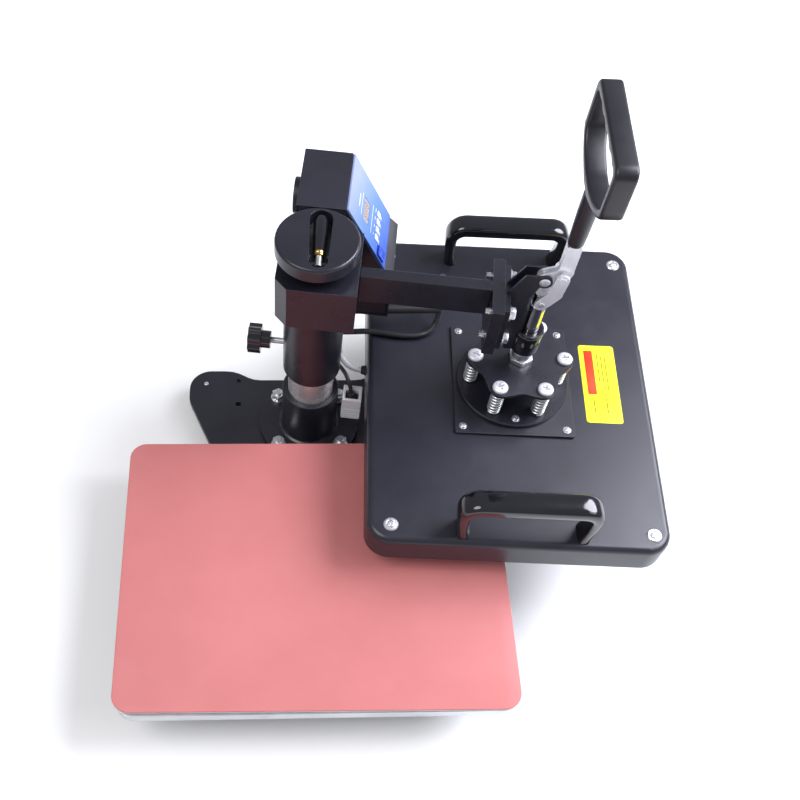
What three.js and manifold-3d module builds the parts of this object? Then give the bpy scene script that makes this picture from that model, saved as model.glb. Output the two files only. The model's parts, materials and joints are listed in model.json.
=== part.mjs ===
// Swing-away heat press: base and column, lower platen with its silicone pad, a head that slides
// and swings on the column, a toggle clamp, and a sprung heated platen. Millimetres, +Z up.
// The column axis is x = 0, y = 0 and the bench is z = 0 until the last lines centre the press on
// its footprint. The head's own frame has +X along the arm and turns about the column.

import * as THREE from 'three';
import { mergeVertices } from 'three/addons/utils/BufferGeometryUtils.js';
import Module from 'manifold-3d';

const wasm = await Module();
wasm.setup();

// ---------- driving dimensions ----------
const DEG = Math.PI / 180;
const GAP = 0.3;                 // air between faces that rest on each other
const SWING_REST = -7.7 * DEG;   // heading of the arm as the press stands
const REACH = 206.3;             // column axis to plunger axis
const PLATEN_TURN = 4.6 * DEG;   // how far the heated platen is turned on the plunger

const FOOT_HEIGHT = 14;
const BASE_THICKNESS = 8;
const BASE_TOP = FOOT_HEIGHT + BASE_THICKNESS;
const PAD_TOP = 78;
const PAD_THICKNESS = 8;
const PLATEN_WIDTH = 380;
const PLATEN_DEPTH = 290;
const PLATEN_THICKNESS = 14;
const STACK_CORNER = 17;

const POST_RADIUS = 24;
const POST_BORE = 17.5;
const POST_TOP = 256;
const POST_PLUG = 20;            // threaded plug at the top of the post
const SOCKET_TOP = 96;
const SOCKET_RADIUS = 30;
const FLANGE_RADIUS = 55;
const FLANGE_TOP = BASE_TOP + 8;
const SLEEVE_RADIUS = 29.7;
const SLEEVE_BORE = 27.3;
const SLEEVE_BOTTOM = 134.5;
const SLEEVE_TOP = 272;
const SCREW_RADIUS = 7;

const BOX_BOTTOM = 238;
const BOX_TOP = 289;
const BOX_HALF_DEPTH = 38.5;
const BOX_LEFT = -35;
const BOX_RIGHT = 40;
const BOX_CHAMFER = 12;
const WHEEL_RADIUS = 38.5;
const WHEEL_BOTTOM = 300.5;
const WHEEL_TOP = 316;
const CRANK_Y = -25;             // crank pivot, measured from the wheel's centre
const CRANK_Z = 310;
const SLOT_X = 2;

const ARM_BOTTOM = 246.5;
const ARM_TOP = 280;
const ARM_THICKNESS = 12;
const END_PLATE_X = 161;
const END_PLATE_THICKNESS = 11;
const END_PLATE_HALF = 33;
const END_PLATE_BOTTOM = 223;
const CLAMP_X = END_PLATE_X + END_PLATE_THICKNESS + GAP;
const CLAMP_BOLT_Y = 21;
const CLAMP_BOLT_ROWS = [236, 269];

const BUSH_BOTTOM = 184;
const BUSH_TOP = 228;
const KNOB_Z = 168;              // height of the column lock
const KNOB_SCREW_RADIUS = 3;

// Toggle pivots in the plane of the arm: on the frame, on the lever and on the plunger.
const FRAME_PIN = { x: 203.5, z: 297 };
const CRANK_LENGTH = 15.5;
const LINK_LENGTH = 35.1;
const RAM_PIN = { x: REACH, z: 270.5 };
const LEVER_X = 219;             // the lever stands upright here when the clamp is open
const LEVER_TOP = 318;           // half-way up the rubber sleeve
const SLEEVE_Z = [341, 400];
const RING_Z = 400;
const RING_DEPTH = 18;
const RING_TWIST = -4.7 * DEG;

const PLUNGER_RADIUS = 7.5;
const PLUNGER_END = 6.9;         // turned down where the link straddles it
const GUIDE_RADIUS = 13;
const GUIDE_BOTTOM = 200;
const GUIDE_TOP = 228;
const STAR_BOTTOM = 177.5;
const STAR_THICKNESS = 3.5;
const SPRING_CIRCLE = 44;
const SPRING_COUNT = 6;
const DISC_BOTTOM = 140.3;
const DISC_TOP = 145;
const DISC_RADIUS = 56.5;

const COVER_TOP = 137;
const COVER_BOTTOM = 103;
const COVER_WIDTH = 290;
const COVER_LENGTH = 380;
const COVER_CORNER = 24;
const COVER_SHIFT = { x: -3, y: 2.8 };  // the cover's middle, measured from the plunger's axis
const COVER_EDGE = 7;
const COVER_WALL = 2.2;
const HEAT_PLATE_BOTTOM = 102.6;
const HEAT_PLATE_THICKNESS = 12.4;

// Control box, in the head's frame: a side profile that runs between two end faces.
const CONTROL_NEAR = BOX_HALF_DEPTH + GAP;
const CONTROL_FAR = 112.5;
const CONTROL_BOTTOM = 176;
const CONTROL_TOP = 315;
const CONTROL_BACK = -24;
const CONTROL_BROW = 21;         // where the sloping panel starts at the top
const CONTROL_CHIN = 61.5;       // where it ends
const CONTROL_FRONT = 72;
const CHIN_Z = 241;
const LIP_Z = 231;
const KEY_COUNT = 4;
const KEY_PITCH = 10;
const ROCKER_X = 28;
const ROCKER_Y = -28;
const LEAD_EXITS = [-4, 10, 24];
const LEAD_EXIT_Y = 62;

// Bow handles on the heated platen: a wide bar on two lean legs.
const BOW_PLACE = 170;
const BOW_FOOT = 57;
const BOW_TOP_HALF = 66;
const BOW_HEIGHT = 56.7;
const BOW_BAR = 16;
const BOW_LEG = 11;
const BOW_DEPTH = 24;

// ---------- materials ----------
function paint(color, roughness = 0.55, metalness = 0) {
  return new THREE.MeshStandardMaterial({ color, roughness, metalness });
}

const satinBlack = paint(0x24242a, 0.5);
const glossBlack = paint(0x0d0d12, 0.15);
const rubberBlack = paint(0x141416, 0.85);
const chrome = paint(0xc9ccd0, 0.12, 1);
const zinc = paint(0xb9bcc0, 0.35, 1);
const aluminium = paint(0xb4b6b9, 0.4, 1);
const brass = paint(0xb08a3c, 0.35, 1);
const siliconePink = paint(0xd9797a, 0.7);
const panelBlue = paint(0x86b4ff, 0.3);
const whiteSleeve = paint(0xe9e9ee, 0.7);
const fibre = paint(0xe4e0d4, 0.95);

// ---------- solid tools ----------
function toSolid(geometry) {
  const bare = geometry.clone();
  bare.deleteAttribute('normal');
  bare.deleteAttribute('uv');
  const merged = mergeVertices(bare, 1e-4);
  return new wasm.Manifold(new wasm.Mesh({
    numProp: 3,
    vertProperties: new Float32Array(merged.attributes.position.array),
    triVerts: new Uint32Array(merged.index.array),
  }));
}

function toGeometry(solid) {
  const mesh = solid.getMesh();
  const geometry = new THREE.BufferGeometry();
  geometry.setAttribute('position', new THREE.BufferAttribute(new Float32Array(mesh.vertProperties), 3));
  geometry.setIndex(new THREE.BufferAttribute(new Uint32Array(mesh.triVerts), 1));
  geometry.computeVertexNormals();
  return geometry;
}

function cut(geometry, ...tools) {
  return toGeometry(tools.reduce((solid, tool) => solid.subtract(toSolid(tool)), toSolid(geometry)));
}

function join(geometry, ...others) {
  return toGeometry(others.reduce((solid, other) => solid.add(toSolid(other)), toSolid(geometry)));
}

// A box from its lowest to its highest corner.
function block(x0, x1, y0, y1, z0, z1) {
  const geometry = new THREE.BoxGeometry(x1 - x0, y1 - y0, z1 - z0);
  return geometry.translate((x0 + x1) / 2, (y0 + y1) / 2, (z0 + z1) / 2);
}

// A round bar along Z, X or Y from one end to the other.
function barZ(radius, z0, z1, x = 0, y = 0, sides = 32) {
  const geometry = new THREE.CylinderGeometry(radius, radius, z1 - z0, sides);
  return geometry.rotateX(Math.PI / 2).translate(x, y, (z0 + z1) / 2);
}

function barX(radius, x0, x1, y = 0, z = 0, sides = 24) {
  const geometry = new THREE.CylinderGeometry(radius, radius, x1 - x0, sides);
  return geometry.rotateZ(Math.PI / 2).translate((x0 + x1) / 2, y, z);
}

function barY(radius, y0, y1, x = 0, z = 0, sides = 24) {
  const geometry = new THREE.CylinderGeometry(radius, radius, y1 - y0, sides);
  return geometry.translate(x, (y0 + y1) / 2, z);
}

// A turned ring about Z, given its two radii.
function ring(inner, outer, z0, z1, sides = 32) {
  const profile = [
    new THREE.Vector2(inner, z0),
    new THREE.Vector2(outer, z0),
    new THREE.Vector2(outer, z1),
    new THREE.Vector2(inner, z1),
    new THREE.Vector2(inner, z0),
  ];
  return new THREE.LatheGeometry(profile, sides).rotateX(Math.PI / 2);
}

function polygon(points) {
  return new THREE.Shape(points.map(([x, y]) => new THREE.Vector2(x, y)));
}

function roundedRectangle(width, length, corner) {
  const x = width / 2;
  const y = length / 2;
  const shape = new THREE.Shape();
  shape.moveTo(-x + corner, -y);
  shape.lineTo(x - corner, -y);
  shape.absarc(x - corner, -y + corner, corner, -Math.PI / 2, 0);
  shape.absarc(x - corner, y - corner, corner, 0, Math.PI / 2);
  shape.absarc(-x + corner, y - corner, corner, Math.PI / 2, Math.PI);
  shape.absarc(-x + corner, -y + corner, corner, Math.PI, 1.5 * Math.PI);
  return shape;
}

function slab(shape, z0, z1, curveSegments = 6) {
  const geometry = new THREE.ExtrudeGeometry(shape, { depth: z1 - z0, bevelEnabled: false, curveSegments });
  return geometry.translate(0, 0, z0);
}

// A plate in the plane of the arm: the shape is drawn in x and z, the thickness lies along y.
function sidePlate(shape, y0, y1, curveSegments = 8) {
  const geometry = new THREE.ExtrudeGeometry(shape, { depth: y1 - y0, bevelEnabled: false, curveSegments });
  return geometry.rotateX(Math.PI / 2).translate(0, y1, 0);
}

// The outline of a bar with round ends between two points.
function capsule(a, b, radius) {
  const angle = Math.atan2(b.z - a.z, b.x - a.x);
  const shape = new THREE.Shape();
  shape.absarc(a.x, a.z, radius, angle + Math.PI / 2, angle + 1.5 * Math.PI);
  shape.absarc(b.x, b.z, radius, angle - Math.PI / 2, angle + Math.PI / 2);
  return shape;
}

// A tube or rod that follows a smooth curve through points.
function swept(points, section, steps) {
  const curve = new THREE.CatmullRomCurve3(points.map(([x, y, z]) => new THREE.Vector3(x, y, z)));
  return new THREE.ExtrudeGeometry(section, { steps, extrudePath: curve, bevelEnabled: false });
}

function circleSection(radius, sides) {
  const points = [];
  for (let i = 0; i < sides; i += 1) {
    const angle = 2 * Math.PI * i / sides;
    points.push([radius * Math.cos(angle), radius * Math.sin(angle)]);
  }
  return polygon(points);
}

function add(group, name, geometry, material) {
  const mesh = new THREE.Mesh(geometry, material);
  mesh.name = name;
  group.add(mesh);
  return mesh;
}

// ---------- groups ----------
const press = new THREE.Group();
const head = new THREE.Group();
head.rotation.z = SWING_REST;
press.add(head);
const wheel = new THREE.Group();
wheel.rotation.z = 3 * DEG;
head.add(wheel);
const spindle = new THREE.Group();
spindle.position.x = REACH;
spindle.rotation.z = PLATEN_TURN;
head.add(spindle);

// ---------- base ----------
const FOOT_REAR = { x: 118, y: 57 };
const FOOT_FRONT = { x: 118, y: -308 };
const FOOT_RADIUS = 15;

// Half of the outline, from the middle of the rear edge round to the middle of the front edge.
function baseOutline() {
  const shape = new THREE.Shape();
  shape.moveTo(0, 62);
  shape.lineTo(55, 62);
  shape.bezierCurveTo(72, 62, 76, 75, 96, 75);
  shape.lineTo(112, 75);
  shape.absarc(112, 50, 25, Math.PI / 2, 0, true);
  shape.absarc(112, 39, 25, 0, -0.35, true);
  shape.lineTo(92, -72);
  shape.bezierCurveTo(80, -98, 78, -230, 88, -252);
  shape.bezierCurveTo(96, -278, 136, -276, 138, -308);
  shape.absarc(116, -308, 22, 0, -Math.PI / 2, true);
  shape.lineTo(-116, -330);
  shape.absarc(-116, -308, 22, -Math.PI / 2, -Math.PI, true);
  shape.bezierCurveTo(-136, -276, -96, -278, -88, -252);
  shape.bezierCurveTo(-78, -230, -80, -98, -92, -72);
  shape.absarc(-112, 39, 25, Math.PI + 0.35, Math.PI, true);
  shape.absarc(-112, 50, 25, Math.PI, Math.PI / 2, true);
  shape.lineTo(-96, 75);
  shape.bezierCurveTo(-76, 75, -72, 62, -55, 62);
  return shape;
}

function addBase() {
  const shape = baseOutline();
  const holes = [[80.5, 61, 2.6], [80.5, 28, 3.4], [-80.5, 61, 2.6], [-80.5, 28, 3.4]];
  for (const [x, y, radius] of holes) {
    const hole = new THREE.Path();
    hole.absarc(x, y, radius, 0, 2 * Math.PI);
    shape.holes.push(hole);
  }
  add(press, 'base_plate', slab(shape, FOOT_HEIGHT, BASE_TOP), satinBlack);

  const feet = {
    foot_rear_left: [-FOOT_REAR.x, FOOT_REAR.y],
    foot_rear_right: [FOOT_REAR.x, FOOT_REAR.y],
    foot_front_left: [-FOOT_FRONT.x, FOOT_FRONT.y],
    foot_front_right: [FOOT_FRONT.x, FOOT_FRONT.y],
  };
  for (const [name, [x, y]] of Object.entries(feet)) {
    const foot = new THREE.CylinderGeometry(FOOT_RADIUS, FOOT_RADIUS - 3, FOOT_HEIGHT - GAP, 24);
    foot.rotateX(Math.PI / 2).translate(x, y, (FOOT_HEIGHT - GAP) / 2);
    add(press, name, foot, rubberBlack);
  }
}

function addColumn() {
  const flange = ring(POST_RADIUS + GAP, FLANGE_RADIUS, BASE_TOP + GAP, FLANGE_TOP, 40);
  const tube = ring(POST_RADIUS + GAP, SOCKET_RADIUS, BASE_TOP + GAP, SOCKET_TOP, 40);
  add(press, 'column_socket', join(flange, tube), satinBlack);
  const profile = [
    [POST_BORE, BASE_TOP + GAP],
    [POST_RADIUS, BASE_TOP + GAP],
    [POST_RADIUS, POST_TOP],
    [SCREW_RADIUS + GAP, POST_TOP],
    [SCREW_RADIUS + GAP, POST_TOP - POST_PLUG],
    [POST_BORE, POST_TOP - POST_PLUG],
    [POST_BORE, BASE_TOP + GAP],
  ].map(([radius, z]) => new THREE.Vector2(radius, z));
  add(press, 'post', new THREE.LatheGeometry(profile, 40).rotateX(Math.PI / 2), chrome);
  add(press, 'guide_bush', ring(POST_RADIUS + GAP, SLEEVE_BORE - GAP, BUSH_BOTTOM, BUSH_TOP, 40), brass);
}

function addLowerPlaten() {
  const platenBottom = PAD_TOP - PAD_THICKNESS - GAP - PLATEN_THICKNESS;
  const [low, high] = [BASE_TOP + GAP, platenBottom - GAP];
  const riser = block(-62, 62, -REACH - 95, -REACH + 95, low, high);
  const inside = block(-58, 58, -REACH - 91, -REACH + 91, low - 1, high - 4);
  add(press, 'platen_stand', cut(riser, inside), satinBlack);
  const plate = slab(roundedRectangle(PLATEN_WIDTH - 3, PLATEN_DEPTH - 1, STACK_CORNER), 0, PLATEN_THICKNESS);
  plate.rotateZ(0.45 * DEG).translate(0, -REACH - 1, platenBottom);
  add(press, 'lower_platen', plate, aluminium);
  const pad = slab(roundedRectangle(PLATEN_WIDTH, PLATEN_DEPTH, STACK_CORNER), PAD_TOP - PAD_THICKNESS, PAD_TOP);
  add(press, 'silicone_pad', pad.translate(0, -REACH, 0), siliconePink);
}

// ---------- head ----------
function addHeadTube() {
  const tube = ring(SLEEVE_BORE, SLEEVE_RADIUS, SLEEVE_BOTTOM, SLEEVE_TOP, 40);
  const tapping = barX(KNOB_SCREW_RADIUS + GAP, -SLEEVE_RADIUS - 5, 0, 0, KNOB_Z);
  add(head, 'head_sleeve', cut(tube, tapping), satinBlack);

  const outline = polygon([
    [BOX_LEFT + BOX_CHAMFER, -BOX_HALF_DEPTH],
    [BOX_RIGHT, -BOX_HALF_DEPTH],
    [BOX_RIGHT, BOX_HALF_DEPTH],
    [BOX_LEFT + BOX_CHAMFER, BOX_HALF_DEPTH],
    [BOX_LEFT, BOX_HALF_DEPTH - BOX_CHAMFER],
    [BOX_LEFT, -BOX_HALF_DEPTH + BOX_CHAMFER],
  ]);
  const bore = barZ(SLEEVE_RADIUS + GAP, BOX_BOTTOM - 1, SLEEVE_TOP + 6, 0, 0, 40);
  const screwHole = barZ(SCREW_RADIUS + 0.5, BOX_BOTTOM, BOX_TOP + 1);
  add(head, 'head_box', cut(slab(outline, BOX_BOTTOM, BOX_TOP), bore, screwHole), satinBlack);
}

function addArm() {
  const half = ARM_THICKNESS / 2;
  const bar = block(BOX_RIGHT + GAP, END_PLATE_X - GAP, -half, half, ARM_BOTTOM, ARM_TOP);
  add(head, 'swing_arm', bar, satinBlack);
  const plate = block(
    END_PLATE_X, END_PLATE_X + END_PLATE_THICKNESS,
    -END_PLATE_HALF, END_PLATE_HALF, END_PLATE_BOTTOM, ARM_TOP,
  );
  const holes = [];
  for (const z of CLAMP_BOLT_ROWS) {
    for (const y of [-CLAMP_BOLT_Y, CLAMP_BOLT_Y]) {
      holes.push(barX(3.2, END_PLATE_X - 1, CLAMP_X, y, z, 16));
    }
  }
  add(head, 'end_plate', cut(plate, ...holes), satinBlack);
}

function addHandwheel() {
  const screwTop = WHEEL_BOTTOM - 0.5;
  const rim = [[0, WHEEL_BOTTOM], [WHEEL_RADIUS - 1, WHEEL_BOTTOM], [WHEEL_RADIUS, WHEEL_BOTTOM + 1]];
  for (let i = 0; i <= 4; i += 1) {
    const angle = Math.PI / 2 * i / 4;
    rim.push([WHEEL_RADIUS - 3 + 3 * Math.cos(angle), WHEEL_TOP - 3 + 3 * Math.sin(angle)]);
  }
  rim.push([0, WHEEL_TOP]);
  const disc = new THREE.LatheGeometry(rim.map(([radius, z]) => new THREE.Vector2(radius, z)), 48);
  disc.rotateX(Math.PI / 2);
  const hub = barZ(14, BOX_TOP + 5.3, WHEEL_BOTTOM + 1);
  const bore = barZ(SCREW_RADIUS + GAP, BOX_TOP, screwTop + GAP);
  const slot = new THREE.Shape();
  slot.absarc(SLOT_X, 24, 10.5, 0, Math.PI);
  slot.lineTo(SLOT_X - 8.5, -20);
  slot.lineTo(SLOT_X + 8.5, -20);
  const pocket = slab(slot, WHEEL_BOTTOM + 1.5, WHEEL_TOP + 1);
  const cup = barZ(8.5, WHEEL_BOTTOM + 2.5, WHEEL_TOP + 1, SLOT_X, CRANK_Y, 24);
  const pinHole = barX(1.8 + GAP, SLOT_X - 11, SLOT_X + 11, CRANK_Y, CRANK_Z, 16);
  add(wheel, 'handwheel', cut(join(disc, hub), bore, pocket, cup, pinHole), satinBlack);
  add(wheel, 'lead_screw', barZ(SCREW_RADIUS, 190, screwTop, 0, 0, 24), zinc);

  const profile = [
    [0, -3], [3, -3], [3, 8], [4.4, 9], [4.4, 13], [5.4, 14], [6, 30], [6.6, 31], [6.9, 48], [5.6, 54], [0, 56],
  ].map(([radius, length]) => new THREE.Vector2(radius, length));
  const grip = new THREE.LatheGeometry(profile, 20).translate(SLOT_X, CRANK_Y, CRANK_Z);
  const pin = barX(1.8, SLOT_X - 10, SLOT_X + 10, CRANK_Y, CRANK_Z, 16);
  add(wheel, 'crank_grip', join(grip, pin), glossBlack);
  add(head, 'thrust_washer', ring(8, 16, BOX_TOP + GAP, BOX_TOP + 5), brass);
}

function addColumnLock() {
  const padEnd = -POST_RADIUS - 0.4;
  const pad = barX(2.4, padEnd - 2, padEnd, 0, KNOB_Z, 16);
  add(head, 'lock_pad', pad, brass);
  const screw = barX(KNOB_SCREW_RADIUS, -46, padEnd - 2 - GAP, 0, KNOB_Z, 16);
  const hub = barX(9, -52, -42.5, 0, KNOB_Z, 24);
  const cap = new THREE.Shape();
  const lobes = 8;
  for (let i = 0; i <= 48; i += 1) {
    const angle = 2 * Math.PI * i / 48;
    const radius = 14 + Math.cos(lobes * angle);
    const point = [radius * Math.cos(angle), radius * Math.sin(angle)];
    if (i === 0) {
      cap.moveTo(...point);
    } else if (i < 48) {
      cap.lineTo(...point);
    }
  }
  const star = slab(cap, 0, 13).rotateY(Math.PI / 2).translate(-65, 0, KNOB_Z);
  add(head, 'lock_knob', join(star, hub, screw), glossBlack);
}

// ---------- control box ----------
function controlOutline(inset = 0) {
  return polygon([
    [CONTROL_BACK + inset, CONTROL_BOTTOM + inset],
    [CONTROL_FRONT - inset, CONTROL_BOTTOM + inset],
    [CONTROL_FRONT - inset, LIP_Z],
    [CONTROL_CHIN - 0.6 * inset, CHIN_Z - 0.4 * inset],
    [CONTROL_BROW - 0.6 * inset, CONTROL_TOP - inset],
    [CONTROL_BACK + inset, CONTROL_TOP - inset],
  ]);
}

// A frame whose x runs down the sloping panel, y along the panel and z out of it.
function panelFrame() {
  const slope = Math.atan2(CONTROL_TOP - CHIN_Z, CONTROL_CHIN - CONTROL_BROW);
  const group = new THREE.Group();
  group.position.set((CONTROL_BROW + CONTROL_CHIN) / 2, (CONTROL_NEAR + CONTROL_FAR) / 2, (CONTROL_TOP + CHIN_Z) / 2);
  group.rotation.y = slope;
  head.add(group);
  return group;
}

function addControlBox() {
  const shell = sidePlate(controlOutline(), CONTROL_NEAR, CONTROL_FAR);
  const hollow = sidePlate(controlOutline(2), CONTROL_NEAR - 1, CONTROL_FAR - 2);
  const leadHoles = LEAD_EXITS.map((x) => barZ(4.5, CONTROL_BOTTOM - 1, CONTROL_BOTTOM + 4, x, LEAD_EXIT_Y, 20));
  add(head, 'control_housing', cut(shell, hollow, ...leadHoles), satinBlack);
  const lid = sidePlate(controlOutline(2.4), CONTROL_NEAR, CONTROL_NEAR + 2);
  add(head, 'control_lid', lid, satinBlack);
  const inlet = block(30, 58, CONTROL_FAR + GAP, CONTROL_FAR + 8, 190, 214);
  const recess = block(34, 54, CONTROL_FAR + 2.5, CONTROL_FAR + 9, 194, 210);
  add(head, 'mains_inlet', cut(inlet, recess), glossBlack);
  const socket = barX(17, CONTROL_BACK - 7, CONTROL_BACK - GAP, 88, 280, 28);
  const mouth = barX(12, CONTROL_BACK - 8, CONTROL_BACK - 1.5, 88, 280, 28);
  add(head, 'auxiliary_socket', cut(socket, mouth), satinBlack);
}

function addControlPanel() {
  const panel = panelFrame();
  const half = Math.hypot(CONTROL_TOP - CHIN_Z, CONTROL_CHIN - CONTROL_BROW) / 2;
  const reach = (CONTROL_FAR - CONTROL_NEAR) / 2;
  const face = block(-half + 1, half - 1, -reach + 1, reach - 1, GAP, 2.2);
  const windows = [block(-13, -2, -19, 8, 1.4, 3)];
  for (let i = 0; i < KEY_COUNT; i += 1) {
    const y = (i - (KEY_COUNT - 1) / 2) * KEY_PITCH - 2;
    windows.push(block(13.6, 20.4, y - 3.9, y + 3.9, 0.7, 3));
    add(panel, `key_${i + 1}`, block(14, 20, y - 3.5, y + 3.5, 1.6, 3), whiteSleeve);
  }
  windows.push(block(ROCKER_X - 6.8, ROCKER_X + 6.8, ROCKER_Y - 6.4, ROCKER_Y + 6.4, 0.7, 3));
  add(panel, 'control_panel', cut(face, ...windows), panelBlue);
  const rocker = block(ROCKER_X - 6, ROCKER_X + 6, ROCKER_Y - 6, ROCKER_Y + 6, 2, 4.6);
  add(panel, 'power_rocker', rocker, paint(0x1c3fae, 0.25));
}

// ---------- toggle clamp ----------
function leverPin() {
  const dx = RAM_PIN.x - FRAME_PIN.x;
  const dz = RAM_PIN.z - FRAME_PIN.z;
  const span = Math.hypot(dx, dz);
  const along = (CRANK_LENGTH ** 2 - LINK_LENGTH ** 2 + span ** 2) / (2 * span);
  const off = Math.sqrt(CRANK_LENGTH ** 2 - along ** 2);
  return {
    x: FRAME_PIN.x + (along * dx - off * dz) / span,
    z: FRAME_PIN.z + (along * dz + off * dx) / span,
  };
}

const LEVER_PIN = leverPin();
const LEVER_HALF = [2.4, 4.4];   // the lever's two cheeks
const EAR_HALF = [4.8, 6.8];     // the frame's ears outside them
const LINK_HALF = [7.3, 9.3];    // the link's two cheeks outside the ears

function cheeks(shape, [y0, y1]) {
  return [sidePlate(shape, y0, y1), sidePlate(shape, -y1, -y0)];
}

function addClampFrame() {
  const flange = block(CLAMP_X, CLAMP_X + 5, -28, 28, END_PLATE_BOTTOM + 3, ARM_TOP - 1.5);
  const ear = new THREE.Shape();
  ear.moveTo(CLAMP_X, 230);
  ear.lineTo(CLAMP_X, 276);
  ear.lineTo(186, 303);
  ear.lineTo(FRAME_PIN.x, 304);
  ear.absarc(FRAME_PIN.x, FRAME_PIN.z, 7, Math.PI / 2, -2, true);
  ear.lineTo(195, 275);
  ear.lineTo(195, 230);
  const ears = cheeks(ear, EAR_HALF);
  const web = block(CLAMP_X + 1, REACH - 8.5, -6, 6, GUIDE_BOTTOM + 1, 253);
  const notch = block(CLAMP_X - 1, CLAMP_X + 13, -14, 14, GUIDE_BOTTOM, END_PLATE_BOTTOM + 3);
  const guide = barZ(GUIDE_RADIUS, GUIDE_BOTTOM, GUIDE_TOP, REACH, 0, 32);
  const bore = barZ(PLUNGER_RADIUS + GAP, GUIDE_BOTTOM - 1, RAM_PIN.z + 9, REACH, 0, 32);
  const boltHoles = [];
  for (const z of CLAMP_BOLT_ROWS) {
    for (const y of [-CLAMP_BOLT_Y, CLAMP_BOLT_Y]) {
      boltHoles.push(barX(3.2, CLAMP_X - 1, CLAMP_X + 6, y, z, 16));
    }
  }
  const pinHole = barY(3 + GAP, -20, 20, FRAME_PIN.x, FRAME_PIN.z, 20);
  const frame = cut(join(flange, web, ...ears, guide), notch, bore, pinHole, ...boltHoles);
  add(head, 'clamp_frame', frame, satinBlack);
  add(head, 'frame_pin', barY(3, -7, 7, FRAME_PIN.x, FRAME_PIN.z, 20), zinc);
}

function addLever() {
  const crank = cheeks(capsule(FRAME_PIN, LEVER_PIN, 7), LEVER_HALF);
  const knee = { x: LEVER_X, z: LEVER_PIN.z + 6 };
  const shank = cheeks(capsule(LEVER_PIN, knee, 7), LEVER_HALF);
  const strip = block(LEVER_X - 6.5, LEVER_X + 6.5, -LEVER_HALF[1], LEVER_HALF[1], knee.z + 8, LEVER_TOP + 22);
  const sides = cheeks(polygon([
    [LEVER_X - 6.5, knee.z - 4],
    [LEVER_X + 6.5, knee.z - 4],
    [LEVER_X + 6.5, knee.z + 10],
    [LEVER_X - 6.5, knee.z + 10],
  ]), LEVER_HALF);
  const rod = barZ(4.5, LEVER_TOP + 20, RING_Z - GAP, LEVER_X, 0, 20);
  const frameHole = barY(3 + GAP, -7, 7, FRAME_PIN.x, FRAME_PIN.z, 20);
  const pinHole = barY(2.6 + GAP, -7, 7, LEVER_PIN.x, LEVER_PIN.z, 20);
  const lever = cut(join(strip, rod, ...sides, ...shank, ...crank), frameHole, pinHole);
  add(head, 'toggle_lever', lever, zinc);
  add(head, 'lever_pin', barY(2.6, -7, 7, LEVER_PIN.x, LEVER_PIN.z, 20), zinc);
  const tube = ring(4.5 + GAP, 7, ...SLEEVE_Z).translate(LEVER_X, 0, 0);
  add(head, 'lever_sleeve', tube, rubberBlack);
}

function addLink() {
  const bend = { x: 215.5, z: 285 };
  const upper = cheeks(capsule(LEVER_PIN, bend, 6.2), LINK_HALF);
  const lower = cheeks(capsule(bend, RAM_PIN, 6.5), LINK_HALF);
  const length = Math.hypot(bend.x - RAM_PIN.x, bend.z - RAM_PIN.z);
  const [dx, dz] = [(bend.x - RAM_PIN.x) / length, (bend.z - RAM_PIN.z) / length];
  const corner = ([along, out]) => [RAM_PIN.x + along * dx + out * dz, RAM_PIN.z + along * dz - out * dx];
  const web = sidePlate(polygon([[11, 4.3], [18, 4.3], [18, 6.4], [11, 6.4]].map(corner)), -LINK_HALF[1], LINK_HALF[1]);
  const hole = barY(3 + GAP, -12, 12, RAM_PIN.x, RAM_PIN.z, 20);
  const rivets = [barY(3.4, 9, 10.4, LEVER_PIN.x, LEVER_PIN.z, 16), barY(3.4, -10.4, -9, LEVER_PIN.x, LEVER_PIN.z, 16)];
  add(head, 'toggle_link', cut(join(web, ...upper, ...lower, ...rivets), hole), zinc);
}

// The pentagon that a hand closes round: a flat top, two short sides and a shallow V at the lever.
function ringOutline(inset) {
  const half = 54 - inset;
  const top = RING_Z + 66 - inset;
  const shoulder = RING_Z + 22 + 0.4 * inset;
  const point = RING_Z + 1.15 * inset;
  const corner = Math.max(9 - inset * 0.6, 3);
  const shape = new THREE.Shape();
  shape.moveTo(-9, point);
  shape.lineTo(9, point);
  shape.quadraticCurveTo(half - 8, shoulder - 12, half, shoulder);
  shape.lineTo(half, top - corner);
  shape.absarc(half - corner, top - corner, corner, 0, Math.PI / 2);
  shape.lineTo(-half + corner, top);
  shape.absarc(-half + corner, top - corner, corner, Math.PI / 2, Math.PI);
  shape.lineTo(-half, shoulder);
  shape.quadraticCurveTo(-half + 8, shoulder - 12, -9, point);
  return shape;
}

function addRingGrip() {
  const body = slab(ringOutline(0), -RING_DEPTH / 2, RING_DEPTH / 2);
  const opening = slab(ringOutline(8), -RING_DEPTH, RING_DEPTH);
  const grip = cut(body, opening);
  grip.rotateX(Math.PI / 2).rotateZ(Math.PI / 2 - RING_TWIST).translate(LEVER_X, 0, 0);
  add(head, 'ring_grip', grip, glossBlack);
}

function addRam() {
  const step = RAM_PIN.z - 8;
  const rod = join(
    barZ(PLUNGER_RADIUS, STAR_BOTTOM, step, REACH, 0, 28),
    barZ(PLUNGER_END, step - 1, RAM_PIN.z + 7.5, REACH, 0, 28),
  );
  const pinHole = barY(3 + GAP, -8, 8, RAM_PIN.x, RAM_PIN.z, 20);
  add(head, 'plunger', cut(rod, pinHole), chrome);
  add(head, 'ram_pin', barY(3, -10.4, 10.4, RAM_PIN.x, RAM_PIN.z, 20), zinc);
}

// ---------- sprung platen, in the spindle's frame ----------
function springPlaces() {
  const places = [];
  for (let i = 0; i < SPRING_COUNT; i += 1) {
    const angle = 2 * Math.PI * i / SPRING_COUNT;
    places.push([SPRING_CIRCLE * Math.cos(angle), SPRING_CIRCLE * Math.sin(angle)]);
  }
  return places;
}

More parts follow.
